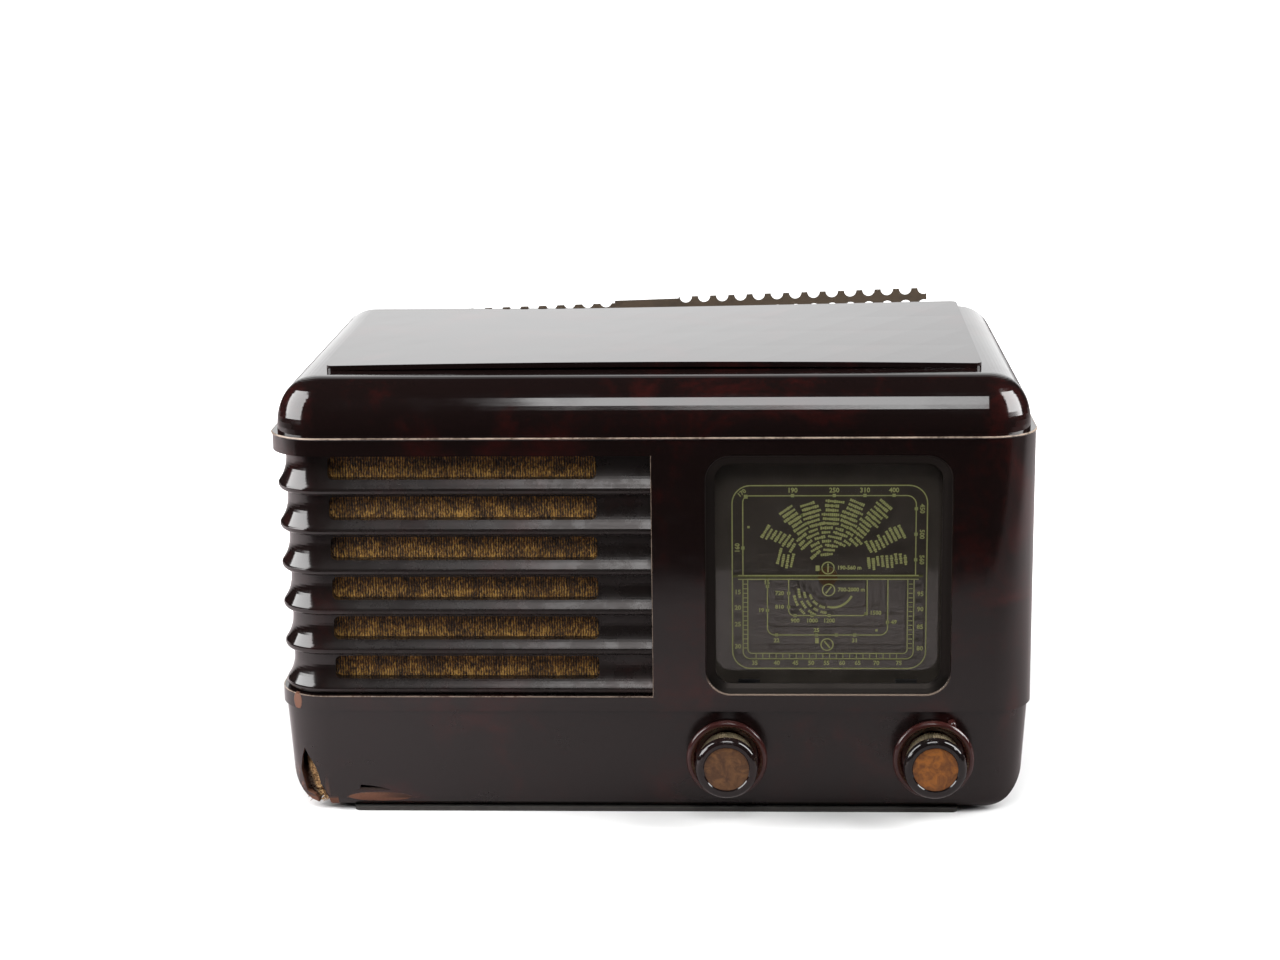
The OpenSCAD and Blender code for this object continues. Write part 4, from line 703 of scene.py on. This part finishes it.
# Cloth behind the louvres: coarse looped upholstery cloth, gold brown, stretched over the board
# and glued round its edge. Its loops stand in rows of upright tufts, with painted light on the
# lower part of each slot.
cloth_low, cloth_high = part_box("speaker_cloth")
slot_pitch, lowest_slot = 19.15, 65.4
cloth_finish = Finish("loop_cloth")
row = cloth_finish.node("TexWave", {"wave_type": "BANDS", "bands_direction": "X"}, {
    "Vector": cloth_finish.place, "Scale": 0.26, "Distortion": 3.2, "Detail": 3.0,
    "Detail Scale": 2.2})
loops = cloth_finish.grain(0.95, 2.0, 0.75, (1.0, 1.0, 0.50))
tufts = cloth_finish.grain(0.16, 4.0, 0.7, (1.0, 1.0, 0.6))
# Painted light: in each slot of the louvre the lower threads are painted brighter, as the light that
# falls in under the louvre above
slot_share = cloth_finish.node("Math", {"operation": "FRACT"}, {
    0: (cloth_finish.z - lowest_slot) * (1.0 / slot_pitch)})
slot_light = cloth_finish.fade(slot_share, 0.40, 0.06)
# The cloth's threads, with the painted light low in each slot added in
threads_and_slot_light = 0.64 * loops + 0.16 * row + 0.44 * tufts + 0.07 * slot_light
threads_and_slot_light = cloth_finish.fade(threads_and_slot_light, 0.42, 0.90)
cloth_colour = cloth_finish.node("ValToRGB", {"stops": (
    (0.0, (0.005, 0.0025, 0.0010)), (0.30, (0.040, 0.018, 0.0040)), (0.62, (0.170, 0.075, 0.011)),
    (1.0, (0.60, 0.33, 0.075)))}, {0: threads_and_slot_light})
cloth_finish.paint(Base_Color=cloth_colour, Roughness=0.92,
                   Normal=cloth_finish.bump(threads_and_slot_light, 0.9))
cloth_finish.shader.inputs["Sheen Weight"].default_value = 0.15
cloth_size = [high - low for low, high in zip(cloth_low, cloth_high)]
weave = bmesh.new()
bmesh.ops.create_grid(weave, x_segments=176, y_segments=156, size=0.5)
bmesh.ops.scale(weave, vec=(cloth_size[0], cloth_size[2], 1.0), verts=weave.verts)
bmesh.ops.rotate(weave, matrix=Matrix.Rotation(math.radians(90), 3, "X"), verts=weave.verts)
bmesh.ops.translate(weave, vec=[(a + b) / 2 for a, b in zip(cloth_low, cloth_high)], verts=weave.verts)
tuft = random.Random(5)
for vertex in weave.verts:
    across, rise = vertex.co.x / MM, vertex.co.z / MM
    wave = math.sin(across * 5.0 + 0.6 * math.sin(rise * 0.9)) * math.sin(rise * 3.1 + across * 0.4)
    vertex.co.y += (0.10 * wave + tuft.uniform(-0.05, 0.05)) * MM
for face in weave.faces:
    face.smooth = True
cloth = keep(weave, "loop_cloth", "cabinet", cloth_finish)
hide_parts("speaker_cloth")

# Table and room: a white table that ends a little in front of the set, a lit white wall behind it,
# and the dark of the room in front. Soft boxes stand left, right and above, where the photograph's
# are seen in the shoulder, and a wide cloth overhead gives the even light of the table.
table_half_width, table_half_depth, table_front = 2.4, 1.5, -0.504
table_mesh = bmesh.new()
bmesh.ops.create_grid(table_mesh, x_segments=1, y_segments=1, size=1.0)
bmesh.ops.scale(table_mesh, vec=(table_half_width, table_half_depth, 1.0), verts=table_mesh.verts)
bmesh.ops.translate(
    table_mesh, vec=(0.0, table_half_depth + table_front, 0.0), verts=table_mesh.verts)
table_data = bpy.data.meshes.new("table")
table_mesh.to_mesh(table_data)
table_mesh.free()
table = bpy.data.objects.new("table", table_data)
bpy.context.scene.collection.objects.link(table)
table_finish = Finish("table_paper")
table_tone = table_finish.grain(0.002, 2.0)
# The photograph's table is plain white, but the set's polished faces mirror a dimmer one
direct = table_finish.node("LightPath", output="Is Camera Ray")
white = table_finish.blend(table_tone, (0.72, 0.72, 0.72), (0.76, 0.76, 0.76))
mirrored = table_finish.blend(
    table_finish.fade(table_finish.x, -220.0, 60.0), (0.52, 0.46, 0.465), (0.34, 0.30, 0.30))
glow = table_finish.fade(table_finish.y, 60.0, 420.0)
glow = glow + table_finish.fade(abs(table_finish.x), 300.0, 620.0)
glow = glow * (0.04 + 0.96 * direct)
table_finish.paint(Base_Color=table_finish.blend(direct, mirrored, white), Roughness=0.9,
                   Emission_Color=table_finish.blend(glow, (0.0, 0.0, 0.0), (1.0, 1.0, 1.0)))
table_finish.shader.inputs["Emission Strength"].default_value = 1.2
table_data.materials.append(table_finish.material)


def softbox(name, place, across, up, width, height, radiance):
    """A rectangle of even light that faces along the cross product of up and across."""
    data = bpy.data.lights.new(name, "AREA")
    data.shape = "RECTANGLE"
    data.size = width
    data.size_y = height
    data.energy = radiance * math.pi * width * height
    lamp = bpy.data.objects.new(name, data)
    across = Vector(across).normalized()
    behind = across.cross(Vector(up)).normalized()
    turn = Matrix((across, behind.cross(across), behind)).transposed()
    lamp.matrix_world = Matrix.Translation(place) @ turn.to_4x4()
    bpy.context.scene.collection.objects.link(lamp)
    return lamp


softbox("left_softbox", (-0.823, -0.101, 0.516), (0.694, -0.720, 0.004), (0.378, 0.369, 0.849),
        0.844, 0.655, 9.8)
softbox("right_softbox", (0.812, -0.040, 0.537), (0.747, 0.659, -0.092), (-0.039, 0.181, 0.983),
        0.723, 0.593, 12.5)
softbox("top_softbox", (0.049, -0.694, 0.735), (0.96, 0.12, -0.25), (0.0, 0.911, 0.413),
        0.381, 0.375, 9.0)
overhead = softbox("overhead_cloth", (0.0, 0.1, 2.4), (1.0, 0.0, 0.0), (0.0, 1.0, 0.0), 3.6, 3.6, 0.75)
overhead.visible_glossy = False

world = bpy.data.worlds.new("studio")
bpy.context.scene.world = world
world.use_nodes = True


class Room(Finish):
    """The world's nodes: light by direction, with x, y and z from -1 to 1."""

    def __init__(self, world):
        self.tree = world.node_tree
        direction = self.node("TexCoord", output="Generated")
        self.place = self.node("VectorMath", {"operation": "NORMALIZE"}, {0: direction})
        self.x, self.y, self.z = (
            self.node("SeparateXYZ", inputs={0: self.place}, output=axis) for axis in (0, 1, 2))


room = Room(world)
behind = room.fade(room.z, 0.74, 0.24)
behind = behind * room.fade(abs(room.x), 0.50, 0.26) * room.fade(room.y, 0.0, 0.2)
light = 0.014 + 1.42 * behind
seen = room.node("LightPath", output="Is Camera Ray")
light = light + seen * (1.6 - light)
room.feed(world.node_tree.nodes["Background"].inputs["Strength"], light)
world.node_tree.nodes["Background"].inputs["Color"].default_value = (1.0, 1.0, 1.0, 1.0)
bpy.context.scene.view_settings.view_transform = "Standard"
